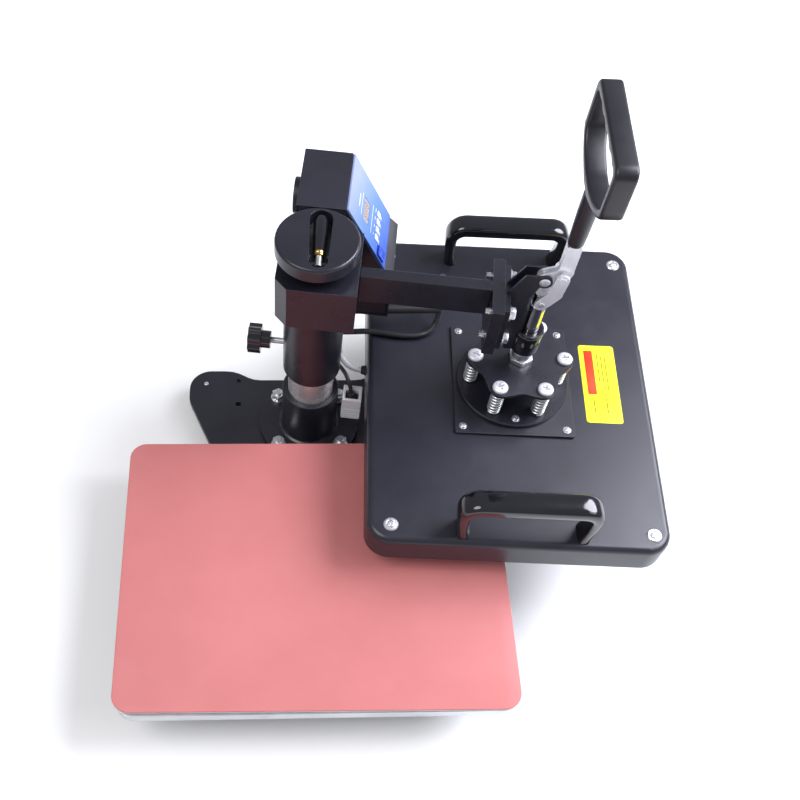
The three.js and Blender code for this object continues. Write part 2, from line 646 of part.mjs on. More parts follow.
function starOutline() {
  const shape = new THREE.Shape();
  const steps = 72;
  for (let i = 0; i < steps; i += 1) {
    const angle = 2 * Math.PI * i / steps;
    const radius = 48.3 + 4.8 * Math.cos(SPRING_COUNT * angle);
    const point = [radius * Math.cos(angle), radius * Math.sin(angle)];
    if (i === 0) {
      shape.moveTo(...point);
    } else {
      shape.lineTo(...point);
    }
  }
  return shape;
}

function addStar() {
  const starTop = STAR_BOTTOM + STAR_THICKNESS;
  const holes = springPlaces().map(([x, y]) => barZ(4.2, STAR_BOTTOM - 1, starTop + 1, x, y, 20));
  holes.push(barZ(PLUNGER_RADIUS + GAP, STAR_BOTTOM - 1, starTop + 1, 0, 0, 28));
  add(spindle, 'star_plate', cut(slab(starOutline(), STAR_BOTTOM, starTop), ...holes), satinBlack);
  const nut = new THREE.CylinderGeometry(12.5, 12.5, 5.7, 6).rotateX(Math.PI / 2);
  nut.translate(0, 0, starTop + GAP + 2.85);
  const collar = barZ(10, starTop + 4, GUIDE_BOTTOM - 4);
  const bore = barZ(PLUNGER_RADIUS + GAP, starTop - 1, GUIDE_BOTTOM, 0, 0, 28);
  add(spindle, 'ring_nut', cut(join(nut, collar), bore), zinc);
}

function addSprings() {
  springPlaces().forEach(([x, y], i) => {
    const spring = ring(5, 7.2, DISC_TOP + GAP, STAR_BOTTOM - GAP, 20).translate(x, y, 0);
    add(spindle, `spring_${i + 1}`, spring, zinc);
  });
}

function addPressureDisc() {
  const disc = barZ(DISC_RADIUS, DISC_BOTTOM, DISC_TOP, 0, 0, 48);
  const headBottom = STAR_BOTTOM + STAR_THICKNESS + GAP;
  const bolts = [];
  for (const [x, y] of springPlaces()) {
    bolts.push(barZ(3.7, DISC_TOP - 1, headBottom + 1, x, y, 16));
    bolts.push(barZ(7, headBottom, headBottom + 4.2, x, y, 20));
  }
  add(spindle, 'pressure_disc', join(disc, ...bolts), satinBlack);
  const plate = slab(roundedRectangle(120, 136, 3), COVER_TOP + GAP, DISC_BOTTOM - GAP);
  add(spindle, 'mounting_plate', plate.translate(0, 4, 0), satinBlack);
}

function addHeatedPlaten() {
  const inner = roundedRectangle(
    COVER_WIDTH - 2 * COVER_EDGE, COVER_LENGTH - 2 * COVER_EDGE, COVER_CORNER - COVER_EDGE,
  );
  const shell = new THREE.ExtrudeGeometry(inner, {
    depth: COVER_TOP - COVER_BOTTOM - COVER_EDGE,
    bevelSize: COVER_EDGE,
    bevelThickness: COVER_EDGE,
    bevelSegments: 4,
    curveSegments: 6,
  }).translate(0, 0, COVER_BOTTOM);
  const below = block(-200, 200, -250, 250, COVER_BOTTOM - 30, COVER_BOTTOM);
  const wall = 2 * COVER_WALL;
  const cavity = slab(
    roundedRectangle(COVER_WIDTH - wall, COVER_LENGTH - wall, COVER_CORNER - COVER_WALL),
    COVER_BOTTOM - 1, COVER_TOP - COVER_EDGE,
  );
  const ceiling = slab(
    roundedRectangle(COVER_WIDTH - 2 * COVER_EDGE, COVER_LENGTH - 2 * COVER_EDGE, COVER_CORNER - COVER_EDGE),
    COVER_TOP - COVER_EDGE - 1, COVER_TOP - COVER_WALL,
  );
  const leadHole = barX(3.6, -COVER_WIDTH / 2 - 1, -COVER_WIDTH / 2 + 5, 24 - COVER_SHIFT.y, 118, 16);
  const cover = cut(shell, below, cavity, ceiling, leadHole).translate(COVER_SHIFT.x, COVER_SHIFT.y, 0);
  add(spindle, 'platen_cover', cover, satinBlack);

  const plateTop = HEAT_PLATE_BOTTOM + HEAT_PLATE_THICKNESS;
  const plate = slab(roundedRectangle(282, 372, 18), HEAT_PLATE_BOTTOM, plateTop);
  add(spindle, 'heat_plate', plate.translate(COVER_SHIFT.x, COVER_SHIFT.y, 0), aluminium);
  const blanket = slab(roundedRectangle(280, 370, 18), plateTop + GAP, COVER_TOP - COVER_EDGE - GAP);
  add(spindle, 'insulation_blanket', blanket.translate(COVER_SHIFT.x, COVER_SHIFT.y, 0), fibre);
}

// ---------- bow handles ----------
function bowOutline() {
  const [outer, inner] = [BOW_FOOT + BOW_LEG / 2, BOW_FOOT - BOW_LEG / 2];
  const topInner = BOW_TOP_HALF - BOW_LEG;
  const under = BOW_HEIGHT - BOW_BAR;
  const shape = new THREE.Shape();
  shape.moveTo(-outer, 0);
  shape.lineTo(-BOW_TOP_HALF, BOW_HEIGHT - 20);
  shape.quadraticCurveTo(-BOW_TOP_HALF, BOW_HEIGHT, -BOW_TOP_HALF + 20, BOW_HEIGHT);
  shape.lineTo(BOW_TOP_HALF - 20, BOW_HEIGHT);
  shape.quadraticCurveTo(BOW_TOP_HALF, BOW_HEIGHT, BOW_TOP_HALF, BOW_HEIGHT - 20);
  shape.lineTo(outer, 0);
  shape.lineTo(inner, 0);
  shape.lineTo(topInner, under - 12);
  shape.quadraticCurveTo(topInner, under, topInner - 12, under);
  shape.lineTo(-topInner + 12, under);
  shape.quadraticCurveTo(-topInner, under, -topInner, under - 12);
  shape.lineTo(-inner, 0);
  return shape;
}

function bowHandle(y) {
  const round = 4;
  const bow = new THREE.ExtrudeGeometry(bowOutline(), {
    depth: BOW_DEPTH - 2 * round,
    bevelSize: round,
    bevelOffset: -round,
    bevelThickness: round,
    bevelSegments: 2,
    curveSegments: 6,
  });
  return bow.rotateX(Math.PI / 2).translate(0, y + BOW_DEPTH / 2 - round, COVER_TOP + GAP);
}

function addBowHandles() {
  add(spindle, 'handle_front', bowHandle(-BOW_PLACE), glossBlack);
  add(spindle, 'handle_rear', bowHandle(BOW_PLACE), glossBlack);
}

// ---------- leads, in the head's frame ----------
const GLAND = { x: 126, y: 112 };
const CABLE_ROUTE = [
  [126, 112, 139], [126, 112, 150], [126, 110, 161], [126, 103.5, 171.5], [126, 93, 176.5],
  [126, 82, 173.5], [126.3, 74, 164.5], [126.2, 68.5, 153.5], [123.5, 61, 145],
  [117.5, 53.5, 141.2], [107.5, 48, 140.5], [94, 45.6, 140.5], [80, 45.4, 140.5],
  [66, 46.2, 140.5], [52, 46, 140.5], [38, 43.5, 140.6], [25, 41.5, 141.6], [13, 42.5, 145.5],
  [4, 48, 152.5], [-2, 55, 162], [-4, 60.5, 170], [-4, 62, 179],
];
const HEATER_ROUTE = [
  [57.5, 12.1, 118], [49.5, 12.1, 118], [41, 15, 117.4], [34, 21, 116.6], [29, 29, 116.8],
  [25.5, 38, 119.5], [24, 46.5, 125.5], [23.6, 53.5, 134], [23.8, 58.5, 144], [24, 61.5, 156],
  [24, 62, 168], [24, 62, 179],
];
const SENSOR_ROUTE = [
  [44, -7.5, 88], [44, -7.5, 95], [43.9, -7, 101], [43, -5, 107], [40.2, -0.5, 112],
  [36.4, 6.5, 114.6], [31.5, 14, 114], [25.5, 21.5, 114], [20.5, 29.5, 116.5], [16, 38, 121.5],
  [12.8, 46, 129.5], [11, 53, 139.5], [10.2, 58.5, 151.5], [10, 61.5, 164], [10, 62, 179],
];

function addLeads() {
  const profile = [[3.6, 0], [9, 0], [9, 6], [6, 7], [5, 14], [3.6, 14], [3.6, 0]];
  const gland = new THREE.LatheGeometry(profile.map(([radius, z]) => new THREE.Vector2(radius, z)), 16);
  gland.rotateX(Math.PI / 2).translate(GLAND.x - REACH, GLAND.y, COVER_TOP + GAP);
  add(spindle, 'cable_gland', gland.rotateZ(-PLATEN_TURN), rubberBlack);
  add(head, 'platen_cable', swept(CABLE_ROUTE, circleSection(3, 8), 70), rubberBlack);
  add(head, 'heater_lead', swept(HEATER_ROUTE, circleSection(3, 8), 44), whiteSleeve);
  add(head, 'sensor_lead', swept(SENSOR_ROUTE, circleSection(2.2, 8), 44), rubberBlack);
  const body = block(35.5, 55.5, -16, 4, 66, 100);
  const socket = block(38.5, 52.5, -13, -2, 86, 101);
  add(head, 'lead_connector', cut(body, socket), whiteSleeve);
}

addBase();
addColumn();
addLowerPlaten();
addHeadTube();
addArm();
addHandwheel();
addColumnLock();
addControlBox();
addControlPanel();
addClampFrame();
addLever();
addLink();
addRingGrip();
addRam();
addStar();
addSprings();
addPressureDisc();
addHeatedPlaten();
addBowHandles();
addLeads();

// Stand the press on z = 0 with the middle of its bounding box over the origin.
const bounds = new THREE.Box3().setFromObject(press, true);
const model = new THREE.Group();
press.position.set(-(bounds.min.x + bounds.max.x) / 2, -(bounds.min.y + bounds.max.y) / 2, -bounds.min.z);
model.add(press);

export default model;
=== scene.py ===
import json
import math
import bmesh
import bpy
from mathutils import Matrix, Vector


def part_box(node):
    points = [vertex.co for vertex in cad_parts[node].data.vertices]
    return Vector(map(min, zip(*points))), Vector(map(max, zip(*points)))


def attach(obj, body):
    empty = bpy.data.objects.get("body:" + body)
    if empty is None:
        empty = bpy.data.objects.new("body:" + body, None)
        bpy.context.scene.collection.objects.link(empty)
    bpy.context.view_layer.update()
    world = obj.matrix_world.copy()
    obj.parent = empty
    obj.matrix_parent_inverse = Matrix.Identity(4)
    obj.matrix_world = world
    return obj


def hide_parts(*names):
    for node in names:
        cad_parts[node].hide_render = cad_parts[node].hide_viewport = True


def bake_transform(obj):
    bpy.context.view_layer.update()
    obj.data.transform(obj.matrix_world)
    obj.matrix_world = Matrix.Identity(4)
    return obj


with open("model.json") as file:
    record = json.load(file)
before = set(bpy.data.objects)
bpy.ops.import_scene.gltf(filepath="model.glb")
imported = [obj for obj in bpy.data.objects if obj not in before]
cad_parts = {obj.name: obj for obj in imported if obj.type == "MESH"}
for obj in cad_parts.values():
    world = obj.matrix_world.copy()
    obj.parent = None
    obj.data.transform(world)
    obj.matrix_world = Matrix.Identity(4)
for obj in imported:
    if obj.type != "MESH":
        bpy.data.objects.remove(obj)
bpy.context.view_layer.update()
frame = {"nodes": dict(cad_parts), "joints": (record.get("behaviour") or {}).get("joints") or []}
NODES = frame["nodes"]
JOINTS = {j["name"]: j for j in frame["joints"]}
SCENE = bpy.context.scene
TAU = 2 * math.pi
MM = Matrix.Scale(0.001, 4)


# ---------- frames ----------
def middle(node):
    low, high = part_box(node)
    return (low + high) / 2


def about_z(degrees):
    return Matrix.Rotation(math.radians(degrees), 4, "Z")


def shift(x, y, z=0.0):
    return Matrix.Translation((x, y, z))


column = middle("post")
back = JOINTS["lock_travel"]["axis"]
heading = math.degrees(math.atan2(-back[1], -back[0]))
crank_axis = JOINTS["crank_fold"]["axis"]
ram = middle("plunger")
PLATEN_TURN = 4.6
RING_TURN = 4.7
COLUMN = shift(column.x, column.y)
PRESS = COLUMN @ MM
HEAD = COLUMN @ about_z(heading) @ MM
WHEEL = COLUMN @ about_z(math.degrees(math.atan2(crank_axis[1], crank_axis[0]))) @ MM
SPINDLE = shift(ram.x, ram.y) @ about_z(heading + PLATEN_TURN) @ MM
PANEL_RISE, PANEL_RUN = 74, 40.5
slope = math.atan2(PANEL_RISE, PANEL_RUN)
PANEL = HEAD @ shift(41.25, 75.65, 278) @ Matrix.Rotation(slope, 4, "Y")

# Places and sizes taken from the CAD, in the millimetres of the frame they are used in.
BASE_TOP = 22.0
FLANGE_TOP = 30.0
COVER_TOP = 137.0
DISC_TOP = 145.0
PAD_WIDTH, PAD_LENGTH, PAD_CORNER, PAD_Y = 380, 290, 17, -206.3
GUIDE_X = 206.3
LEVER_X = 219
SOCKET_Y, SOCKET_Z = 88, 280
HOUSING_BACK = 112.5
CONNECTOR_X, CONNECTOR_LEAD_X, CONNECTOR_LEAD_Y = 45.5, 44, -7.5
CRANK_X, CRANK_Y, CRANK_Z = 2, -25, 310
LOCK_Z = 168
BOLT_RADIUS = 44
BOLT_RING = [(BOLT_RADIUS * math.cos(TAU * i / 6), BOLT_RADIUS * math.sin(TAU * i / 6)) for i in range(6)]
TURN_RIGHT = Matrix.Rotation(math.pi / 2, 4, "Y")
TURN_LEFT = Matrix.Rotation(-math.pi / 2, 4, "Y")
TURN_BACK = Matrix.Rotation(-math.pi / 2, 4, "X")


# ---------- camera, floor and light ----------
CAMERA_PLACE = (-0.120628, -0.530962, 0.956563)
CAMERA_YAW, CAMERA_PITCH, CAMERA_ROLL = 2.804, 60.72, 2.228  # degrees
PAPER_COLOUR = (0.93, 0.93, 0.935, 1)
WORLD_COLOUR = (0.93, 0.945, 1.0, 1)
WORLD_STRENGTH = 0.42


def add_camera():
    data = bpy.data.cameras.new("camera")
    camera = bpy.data.objects.new("camera", data)
    SCENE.collection.objects.link(camera)
    yaw, pitch, roll = (math.radians(a) for a in (CAMERA_YAW, CAMERA_PITCH, CAMERA_ROLL))
    level = math.cos(pitch)
    forward = Vector((math.sin(yaw) * level, math.cos(yaw) * level, -math.sin(pitch)))
    right = Vector((math.cos(yaw), -math.sin(yaw), 0))
    up = right.cross(forward)
    across = right * math.cos(roll) + up * math.sin(roll)
    above = up * math.cos(roll) - right * math.sin(roll)
    turn = Matrix((across, above, -forward)).transposed().to_4x4()
    camera.matrix_world = Matrix.Translation(CAMERA_PLACE) @ turn
    data.sensor_width = 36
    data.lens = 44.202
    data.shift_x = 0.1261
    data.shift_y = 0.1245
    data.clip_start, data.clip_end = 0.01, 50
    SCENE.camera = camera


def add_area(name, place, target, size, power, colour):
    data = bpy.data.lights.new(name, "AREA")
    data.shape, data.size, data.energy, data.color = "DISK", size, power, colour
    light = bpy.data.objects.new(name, data)
    SCENE.collection.objects.link(light)
    light.location = place
    light.rotation_mode = "QUATERNION"
    light.rotation_quaternion = (Vector(target) - Vector(place)).to_track_quat("-Z", "Y")


def add_stage():
    grid = bmesh.new()
    bmesh.ops.create_grid(grid, x_segments=8, y_segments=8, size=6)
    mesh = bpy.data.meshes.new("floor")
    grid.to_mesh(mesh)
    grid.free()
    floor = bpy.data.objects.new("floor", mesh)
    SCENE.collection.objects.link(floor)
    paper = bpy.data.materials.new("floor_paper")
    paper.use_nodes = True
    shader = paper.node_tree.nodes["Principled BSDF"]
    shader.inputs["Base Color"].default_value = PAPER_COLOUR
    shader.inputs["Roughness"].default_value = 0.9
    mesh.materials.append(paper)

    world = bpy.data.worlds.new("studio")
    world.use_nodes = True
    background = world.node_tree.nodes["Background"]
    background.inputs["Color"].default_value = WORLD_COLOUR
    background.inputs["Strength"].default_value = WORLD_STRENGTH
    SCENE.world = world
    add_area("key", (-1.1, -0.5, 2.1), (0, 0, 0.1), 1.3, 24, (1.0, 0.985, 0.97))
    add_area("fill", (1.6, -0.6, 1.7), (0, 0, 0.1), 1.2, 12, (0.97, 0.97, 1.0))
    add_area("sky", (1.3, 0.35, 1.45), (0.2, 0.05, 0.12), 1.35, 62, (0.88, 0.90, 1.0))
    SCENE.view_settings.view_transform = "Standard"


add_camera()
add_stage()


# ---------- materials ----------
class Nodes:
    """A material's node tree with short ways to add nodes. Its place is the Object coordinate, in metres."""

    def __init__(self, name):
        self.material = bpy.data.materials.new(name)
        self.material.use_nodes = True
        self.tree = self.material.node_tree
        self.shader = self.tree.nodes["Principled BSDF"]
        self.place = self.add("ShaderNodeTexCoord").outputs["Object"]

    def add(self, kind, **settings):
        node = self.tree.nodes.new(kind)
        for key, value in settings.items():
            setattr(node, key, value)
        return node

    def join(self, source, target):
        if isinstance(source, bpy.types.NodeSocket):
            self.tree.links.new(source, target)
        else:
            target.default_value = source

    def math(self, operation, *values):
        node = self.add("ShaderNodeMath", operation=operation)
        for value, socket in zip(values, node.inputs):
            self.join(value, socket)
        return node.outputs[0]

    def weighed(self, a, weight_a, b, weight_b):
        return self.math("ADD", self.math("MULTIPLY", a, weight_a), self.math("MULTIPLY", b, weight_b))

    def span(self, value, low, high, to_low, to_high):
        node = self.add("ShaderNodeMapRange")
        for source, socket in zip((value, low, high, to_low, to_high), node.inputs):
            self.join(source, socket)
        return node.outputs[0]

    def mix(self, share, a, b):
        """Mixes two colours, by the sockets that the node keeps for colour."""
        node = self.add("ShaderNodeMix", data_type="RGBA")
        self.join(share, node.inputs[0])
        self.join(a, node.inputs[6])
        self.join(b, node.inputs[7])
        return node.outputs[2]

    def stretched(self, scale):
        node = self.add("ShaderNodeMapping")
        self.join(self.place, node.inputs["Vector"])
        node.inputs["Scale"].default_value = scale
        return node.outputs[0]

    def noise(self, scale, detail, roughness=0.55, place=None):
        node = self.add("ShaderNodeTexNoise")
        self.join(place or self.place, node.inputs["Vector"])
        node.inputs["Scale"].default_value = scale
        node.inputs["Detail"].default_value = detail
        node.inputs["Roughness"].default_value = roughness
        return node.outputs[0]

    def bump(self, height, distance):
        node = self.add("ShaderNodeBump")
        self.join(height, node.inputs["Height"])
        node.inputs["Distance"].default_value = distance
        node.inputs["Strength"].default_value = 1.0
        self.join(node.outputs[0], self.shader.inputs["Normal"])

    def edges(self, radius):
        """How near a point is to a sharp edge, 0 away from edges and 1 on them."""
        bevel = self.add("ShaderNodeBevel", samples=4)
        bevel.inputs["Radius"].default_value = radius
        here = self.add("ShaderNodeNewGeometry").outputs["Normal"]
        dot = self.add("ShaderNodeVectorMath", operation="DOT_PRODUCT")
        self.join(bevel.outputs[0], dot.inputs[0])
        self.join(here, dot.inputs[1])
        return self.span(dot.outputs["Value"], 0.995, 0.86, 0.0, 1.0)


WEAR_RADIUS = 0.0009
DUST_SCALE = 5200
DUST_COLOUR = (0.35, 0.35, 0.37, 1)


def finish(name, colour, second, rough, metal=0.0, blotch=14, grain=1400, bump=0.00004, wear=None,
           wear_share=0.5, coat=0.0, stretch=None, dust=0.0, specular=0.5):
    """Colour and roughness that vary at two scales, a fine bump, and dust and worn edges if asked for."""
    n = Nodes(name)
    cloud = n.noise(blotch, 4)
    place = n.stretched(stretch) if stretch else None
    fine = n.noise(grain, 3, place=place)
    share = n.span(n.weighed(cloud, 0.7, fine, 0.3), 0.35, 0.65, 0, 1)
    paint = n.mix(share, (*colour, 1), (*second, 1))
    if dust:
        specks = n.span(n.noise(DUST_SCALE, 2), 0.66, 0.72, 0.0, dust)
        paint = n.mix(specks, paint, DUST_COLOUR)
    smear = n.noise(38, 5, 0.7)
    dull = n.span(n.weighed(smear, 0.65, fine, 0.35), 0.3, 0.7, *rough)
    if wear:
        patchy = n.span(n.noise(260, 4), 0.42, 0.62, 0.0, 1.0)
        worn = n.math("MULTIPLY", n.math("MULTIPLY", n.edges(WEAR_RADIUS), patchy), wear_share)
        paint = n.mix(worn, paint, (*wear, 1))
        dull = n.math("ADD", dull, n.math("MULTIPLY", worn, 0.12))
    n.join(paint, n.shader.inputs["Base Color"])
    n.join(dull, n.shader.inputs["Roughness"])
    n.shader.inputs["Metallic"].default_value = metal
    n.shader.inputs["Coat Weight"].default_value = coat
    n.shader.inputs["Coat Roughness"].default_value = 0.08
    n.shader.inputs["Specular IOR Level"].default_value = specular
    n.bump(fine, bump)
    return n.material


def along(n, frame_matrix, axis):
    """A socket with a point's place along one axis of a frame, in that frame's millimetres."""
    row = frame_matrix.inverted()[axis]
    dot = n.add("ShaderNodeVectorMath", operation="DOT_PRODUCT")
    n.join(n.place, dot.inputs[0])
    dot.inputs[1].default_value = row[:3]
    return n.math("ADD", dot.outputs["Value"], row[3])


def silicone(name, colour, second, deep):
    """A moulded silicone sheet: fine leather-like pores, faint broad mottling and a dusty sheen."""
    n = Nodes(name)
    cloud = n.noise(9, 5, 0.6)
    cells = n.add("ShaderNodeTexVoronoi", feature="DISTANCE_TO_EDGE")
    n.join(n.place, cells.inputs["Vector"])
    cells.inputs["Scale"].default_value = 1100
    pores = n.span(cells.outputs["Distance"], 0.0, 0.22, 0.0, 1.0)
    fine = n.noise(2600, 2)
    tone = n.mix(n.span(cloud, 0.36, 0.66, 0, 1), (*colour, 1), (*second, 1))
    tone = n.mix(n.math("MULTIPLY", n.span(fine, 0.62, 0.75, 0, 1), 0.25), tone, (*deep, 1))
    n.join(tone, n.shader.inputs["Base Color"])
    n.join(n.span(n.noise(30, 4, 0.7), 0.3, 0.7, 0.5, 0.66), n.shader.inputs["Roughness"])
    n.shader.inputs["Sheen Weight"].default_value = 0.08
    n.shader.inputs["Specular IOR Level"].default_value = 0.35
    n.bump(n.math("ADD", n.math("MULTIPLY", pores, 0.6), fine), 0.00003)
    return n.material


def panel_film(name):
    """A printed film that runs from greyed blue at the brow to deep blue at the lip, at a slant."""
    n = Nodes(name)
    down, side = along(n, PANEL, 0), along(n, PANEL, 1)
    lean = n.math("ADD", down, n.math("MULTIPLY", side, -0.35))
    ramp = n.add("ShaderNodeValToRGB")
    n.join(n.span(lean, -42, 46, 0, 1), ramp.inputs[0])
    stops = ramp.color_ramp.elements
    stops[0].color, stops[1].color = (0.27, 0.32, 0.56, 1), (0.01, 0.07, 0.42, 1)
    stops[0].position, stops[1].position = 0.05, 1.0
    middle_stop = stops.new(0.5)
    middle_stop.color = (0.09, 0.20, 0.52, 1)
    fine = n.noise(1900, 2)
    tint = n.mix(n.math("MULTIPLY", n.noise(60, 3), 0.12), ramp.outputs[0], (0.36, 0.40, 0.56, 1))
    n.join(tint, n.shader.inputs["Base Color"])
    n.join(n.span(n.noise(70, 4), 0.3, 0.7, 0.5, 0.62), n.shader.inputs["Roughness"])
    n.shader.inputs["Specular IOR Level"].default_value = 0.22
    n.bump(fine, 0.00001)
    return n.material


def braid(name, colour, second):
    """A glass-fibre sleeve: two sets of strands that cross, drawn from the tube's own UVs."""
    n = Nodes(name)
    uv = n.add("ShaderNodeSeparateXYZ")
    n.join(n.add("ShaderNodeTexCoord").outputs["UV"], uv.inputs[0])
    waves = []
    strands, lay = 8, 5200.0
    for sign in (1, -1):
        waves.append(n.math("SINE", n.weighed(uv.outputs[0], strands * TAU, uv.outputs[1], sign * lay)))
    weave = n.math("MAXIMUM", *waves)
    share = n.span(n.math("ADD", weave, n.math("MULTIPLY", n.noise(900, 3), 0.8)), -0.2, 1.6, 0, 1)
    n.join(n.mix(share, (*second, 1), (*colour, 1)), n.shader.inputs["Base Color"])
    n.join(n.span(n.noise(300, 3), 0.3, 0.7, 0.65, 0.85), n.shader.inputs["Roughness"])
    n.shader.inputs["Sheen Weight"].default_value = 0.2
    n.bump(weave, 0.00012)
    return n.material


MAT = {
    # The blue in the black paints and mouldings below is painted light: it stands for the bluish light they
    # reflect from above.
    "powder": finish("powder_coat", (0.010, 0.010, 0.017), (0.018, 0.018, 0.028), rough=(0.30, 0.44),
                     grain=2100, bump=0.00006, wear=(0.10, 0.10, 0.12), wear_share=0.55, dust=0.10),
    "cover": finish("cover_paint", (0.011, 0.011, 0.019), (0.020, 0.020, 0.031), rough=(0.27, 0.38), blotch=8,
                    grain=1500, bump=0.00005, wear=(0.085, 0.085, 0.105), wear_share=0.5, dust=0.08),
    "casting": finish("machined_black", (0.009, 0.009, 0.015), (0.016, 0.016, 0.025), rough=(0.24, 0.36),
                      grain=1800, bump=0.00005, wear=(0.13, 0.13, 0.15), wear_share=0.6, dust=0.06),
    "gloss": finish("gloss_moulding", (0.004, 0.004, 0.007), (0.007, 0.007, 0.011), rough=(0.07, 0.15),
                    blotch=20, grain=900, bump=0.000015, wear=(0.05, 0.05, 0.06), wear_share=0.35, coat=0.4),
    "grip": finish("grip_moulding", (0.006, 0.006, 0.010), (0.012, 0.011, 0.016), rough=(0.30, 0.42),
                   blotch=24, grain=1700, bump=0.00006, wear=(0.07, 0.07, 0.085), wear_share=0.5),
    "rubber": finish("black_rubber", (0.010, 0.010, 0.012), (0.022, 0.021, 0.023), rough=(0.52, 0.72),
                     grain=1500, bump=0.00006),
    "cable": finish("cable_jacket", (0.007, 0.007, 0.009), (0.014, 0.014, 0.016), rough=(0.38, 0.52),
                    grain=1800, bump=0.00002, coat=0.1),
    "chrome": finish("chrome_plate", (0.60, 0.60, 0.62), (0.72, 0.72, 0.74), rough=(0.04, 0.12), metal=1.0,
                     blotch=40, grain=1200, bump=0.000004, stretch=(0.15, 0.15, 2.5)),
    "post": finish("post_chrome", (0.80, 0.78, 0.79), (0.90, 0.88, 0.89), rough=(0.24, 0.34), metal=0.75,
                   blotch=40, grain=1200, bump=0.000008, stretch=(1, 1, 0.1), wear=(0.95, 0.95, 0.96)),
    "zinc": finish("bright_zinc", (0.62, 0.63, 0.67), (0.80, 0.80, 0.84), rough=(0.26, 0.42), metal=1.0,
                   blotch=70, grain=1500, bump=0.00002, wear=(0.85, 0.86, 0.88), wear_share=0.4),
    "dull_zinc": finish("flat_zinc", (0.60, 0.61, 0.65), (0.74, 0.75, 0.79), rough=(0.42, 0.56), metal=0.6,
                        blotch=90, grain=1300, bump=0.00003, wear=(0.8, 0.8, 0.82), wear_share=0.5),
    "strip": finish("polished_strip", (0.80, 0.80, 0.85), (0.92, 0.92, 0.96), rough=(0.28, 0.42), metal=0.8,
                    blotch=60, grain=900, bump=0.000012, stretch=(1, 1, 0.08), wear=(0.9, 0.9, 0.92),
                    wear_share=0.4),
    "spring": finish("spring_wire", (0.70, 0.71, 0.74), (0.86, 0.86, 0.88), rough=(0.24, 0.38), metal=1.0,
                     blotch=60, grain=2600, bump=0.00001, stretch=(0.25, 0.25, 1.6)),
    "aluminium": finish("machined_aluminium", (0.50, 0.51, 0.53), (0.62, 0.63, 0.65), rough=(0.26, 0.42),
                        metal=1.0, blotch=20, grain=1600, bump=0.00002, stretch=(0.04, 1, 1),
                        wear=(0.8, 0.81, 0.83), wear_share=0.5),
    "heat_face": finish("coated_heat_face", (0.16, 0.165, 0.17), (0.22, 0.225, 0.23), rough=(0.3, 0.45),
                        metal=0.6, blotch=14, grain=1400, bump=0.00002, wear=(0.6, 0.6, 0.62)),
    "brass": finish("turned_brass", (0.62, 0.42, 0.13), (0.75, 0.54, 0.20), rough=(0.16, 0.3), metal=1.0,
                    blotch=60, grain=1700, bump=0.000015, stretch=(0.3, 0.3, 2.0), wear=(0.85, 0.68, 0.35)),
    "fibre": finish("fibre_blanket", (0.62, 0.60, 0.52), (0.80, 0.78, 0.70), rough=(0.85, 0.97), blotch=90,
                    grain=900, bump=0.0005),
    "white": finish("white_moulding", (0.72, 0.72, 0.75), (0.82, 0.82, 0.84), rough=(0.36, 0.5), blotch=60,
                    grain=1300, bump=0.00003, wear=(0.9, 0.9, 0.9), wear_share=0.3),
    "backing": finish("white_backing", (0.66, 0.66, 0.69), (0.80, 0.80, 0.82), rough=(0.6, 0.78), blotch=40,
                      grain=700, bump=0.0001, stretch=(1, 1, 0.2)),
    # Dark red for the line under the pad's silicone, painted shade along its edge.
    "red_line": finish("red_shade_line", (0.22, 0.02, 0.02), (0.34, 0.04, 0.03), rough=(0.5, 0.66), blotch=70),
    "rocker": finish("blue_moulding", (0.01, 0.05, 0.42), (0.02, 0.09, 0.60), rough=(0.10, 0.2), blotch=60,
                     grain=1200, bump=0.00001, wear=(0.2, 0.3, 0.8), wear_share=0.35, coat=0.3),
    "yellow": finish("yellow_film", (0.88, 0.83, 0.018), (0.98, 0.93, 0.04), rough=(0.5, 0.62), blotch=26,
                     grain=1500, bump=0.000012, wear=(0.7, 0.68, 0.2), wear_share=0.5, specular=0.2),
    "red": finish("red_ink", (0.72, 0.035, 0.012), (0.86, 0.07, 0.02), rough=(0.5, 0.62), blotch=60,
                  grain=1500, specular=0.2),
    "ink": finish("black_ink", (0.010, 0.010, 0.010), (0.03, 0.03, 0.025), rough=(0.6, 0.75), blotch=60,
                  specular=0.15),
    "glass": finish("display_glass", (0.30, 0.28, 0.27), (0.40, 0.38, 0.36), rough=(0.35, 0.45), blotch=50,
                    grain=1500, bump=0.000005, specular=0.3),
    "digit": finish("display_digit", (0.20, 0.05, 0.03), (0.30, 0.09, 0.05), rough=(0.2, 0.3), blotch=80),
    "print": finish("white_print", (0.74, 0.80, 0.92), (0.86, 0.90, 0.97), rough=(0.5, 0.6), blotch=90,
                    specular=0.3),
    "film": panel_film("panel_film"),
    "silicone": silicone("silicone_sheet", (0.53, 0.168, 0.166), (0.57, 0.188, 0.185), (0.45, 0.125, 0.12)),
    "braid": braid("glass_braid", (0.78, 0.78, 0.80), (0.52, 0.52, 0.55)),
}


# ---------- mesh tools ----------
SMOOTH_ANGLE = 34


def put(name, bm, place, body, material, angle=SMOOTH_ANGLE, stands_for=()):
    """Makes a piece from a bmesh: placed by a frame, smooth up to an angle in degrees, riding on a body."""
    bm.transform(place)
    bmesh.ops.recalc_face_normals(bm, faces=bm.faces)
    mesh = bpy.data.meshes.new(name)
    bm.to_mesh(mesh)
    bm.free()
    mesh.polygons.foreach_set("use_smooth", [True] * len(mesh.polygons))
    mesh.set_sharp_from_angle(angle=math.radians(angle))
    mesh.materials.append(MAT[material])
    obj = bpy.data.objects.new(name, mesh)
    SCENE.collection.objects.link(obj)
    if stands_for:
        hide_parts(*stands_for)
    if body:
        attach(obj, body)
    return obj


def circle(radius, z, sides):
    """A ring of points about Z. The radius may be a function of the angle."""
    points = []
    for i in range(sides):
        a = TAU * i / sides
        r = radius(a) if callable(radius) else radius
        points.append(Vector((r * math.cos(a), r * math.sin(a), z)))
    return points


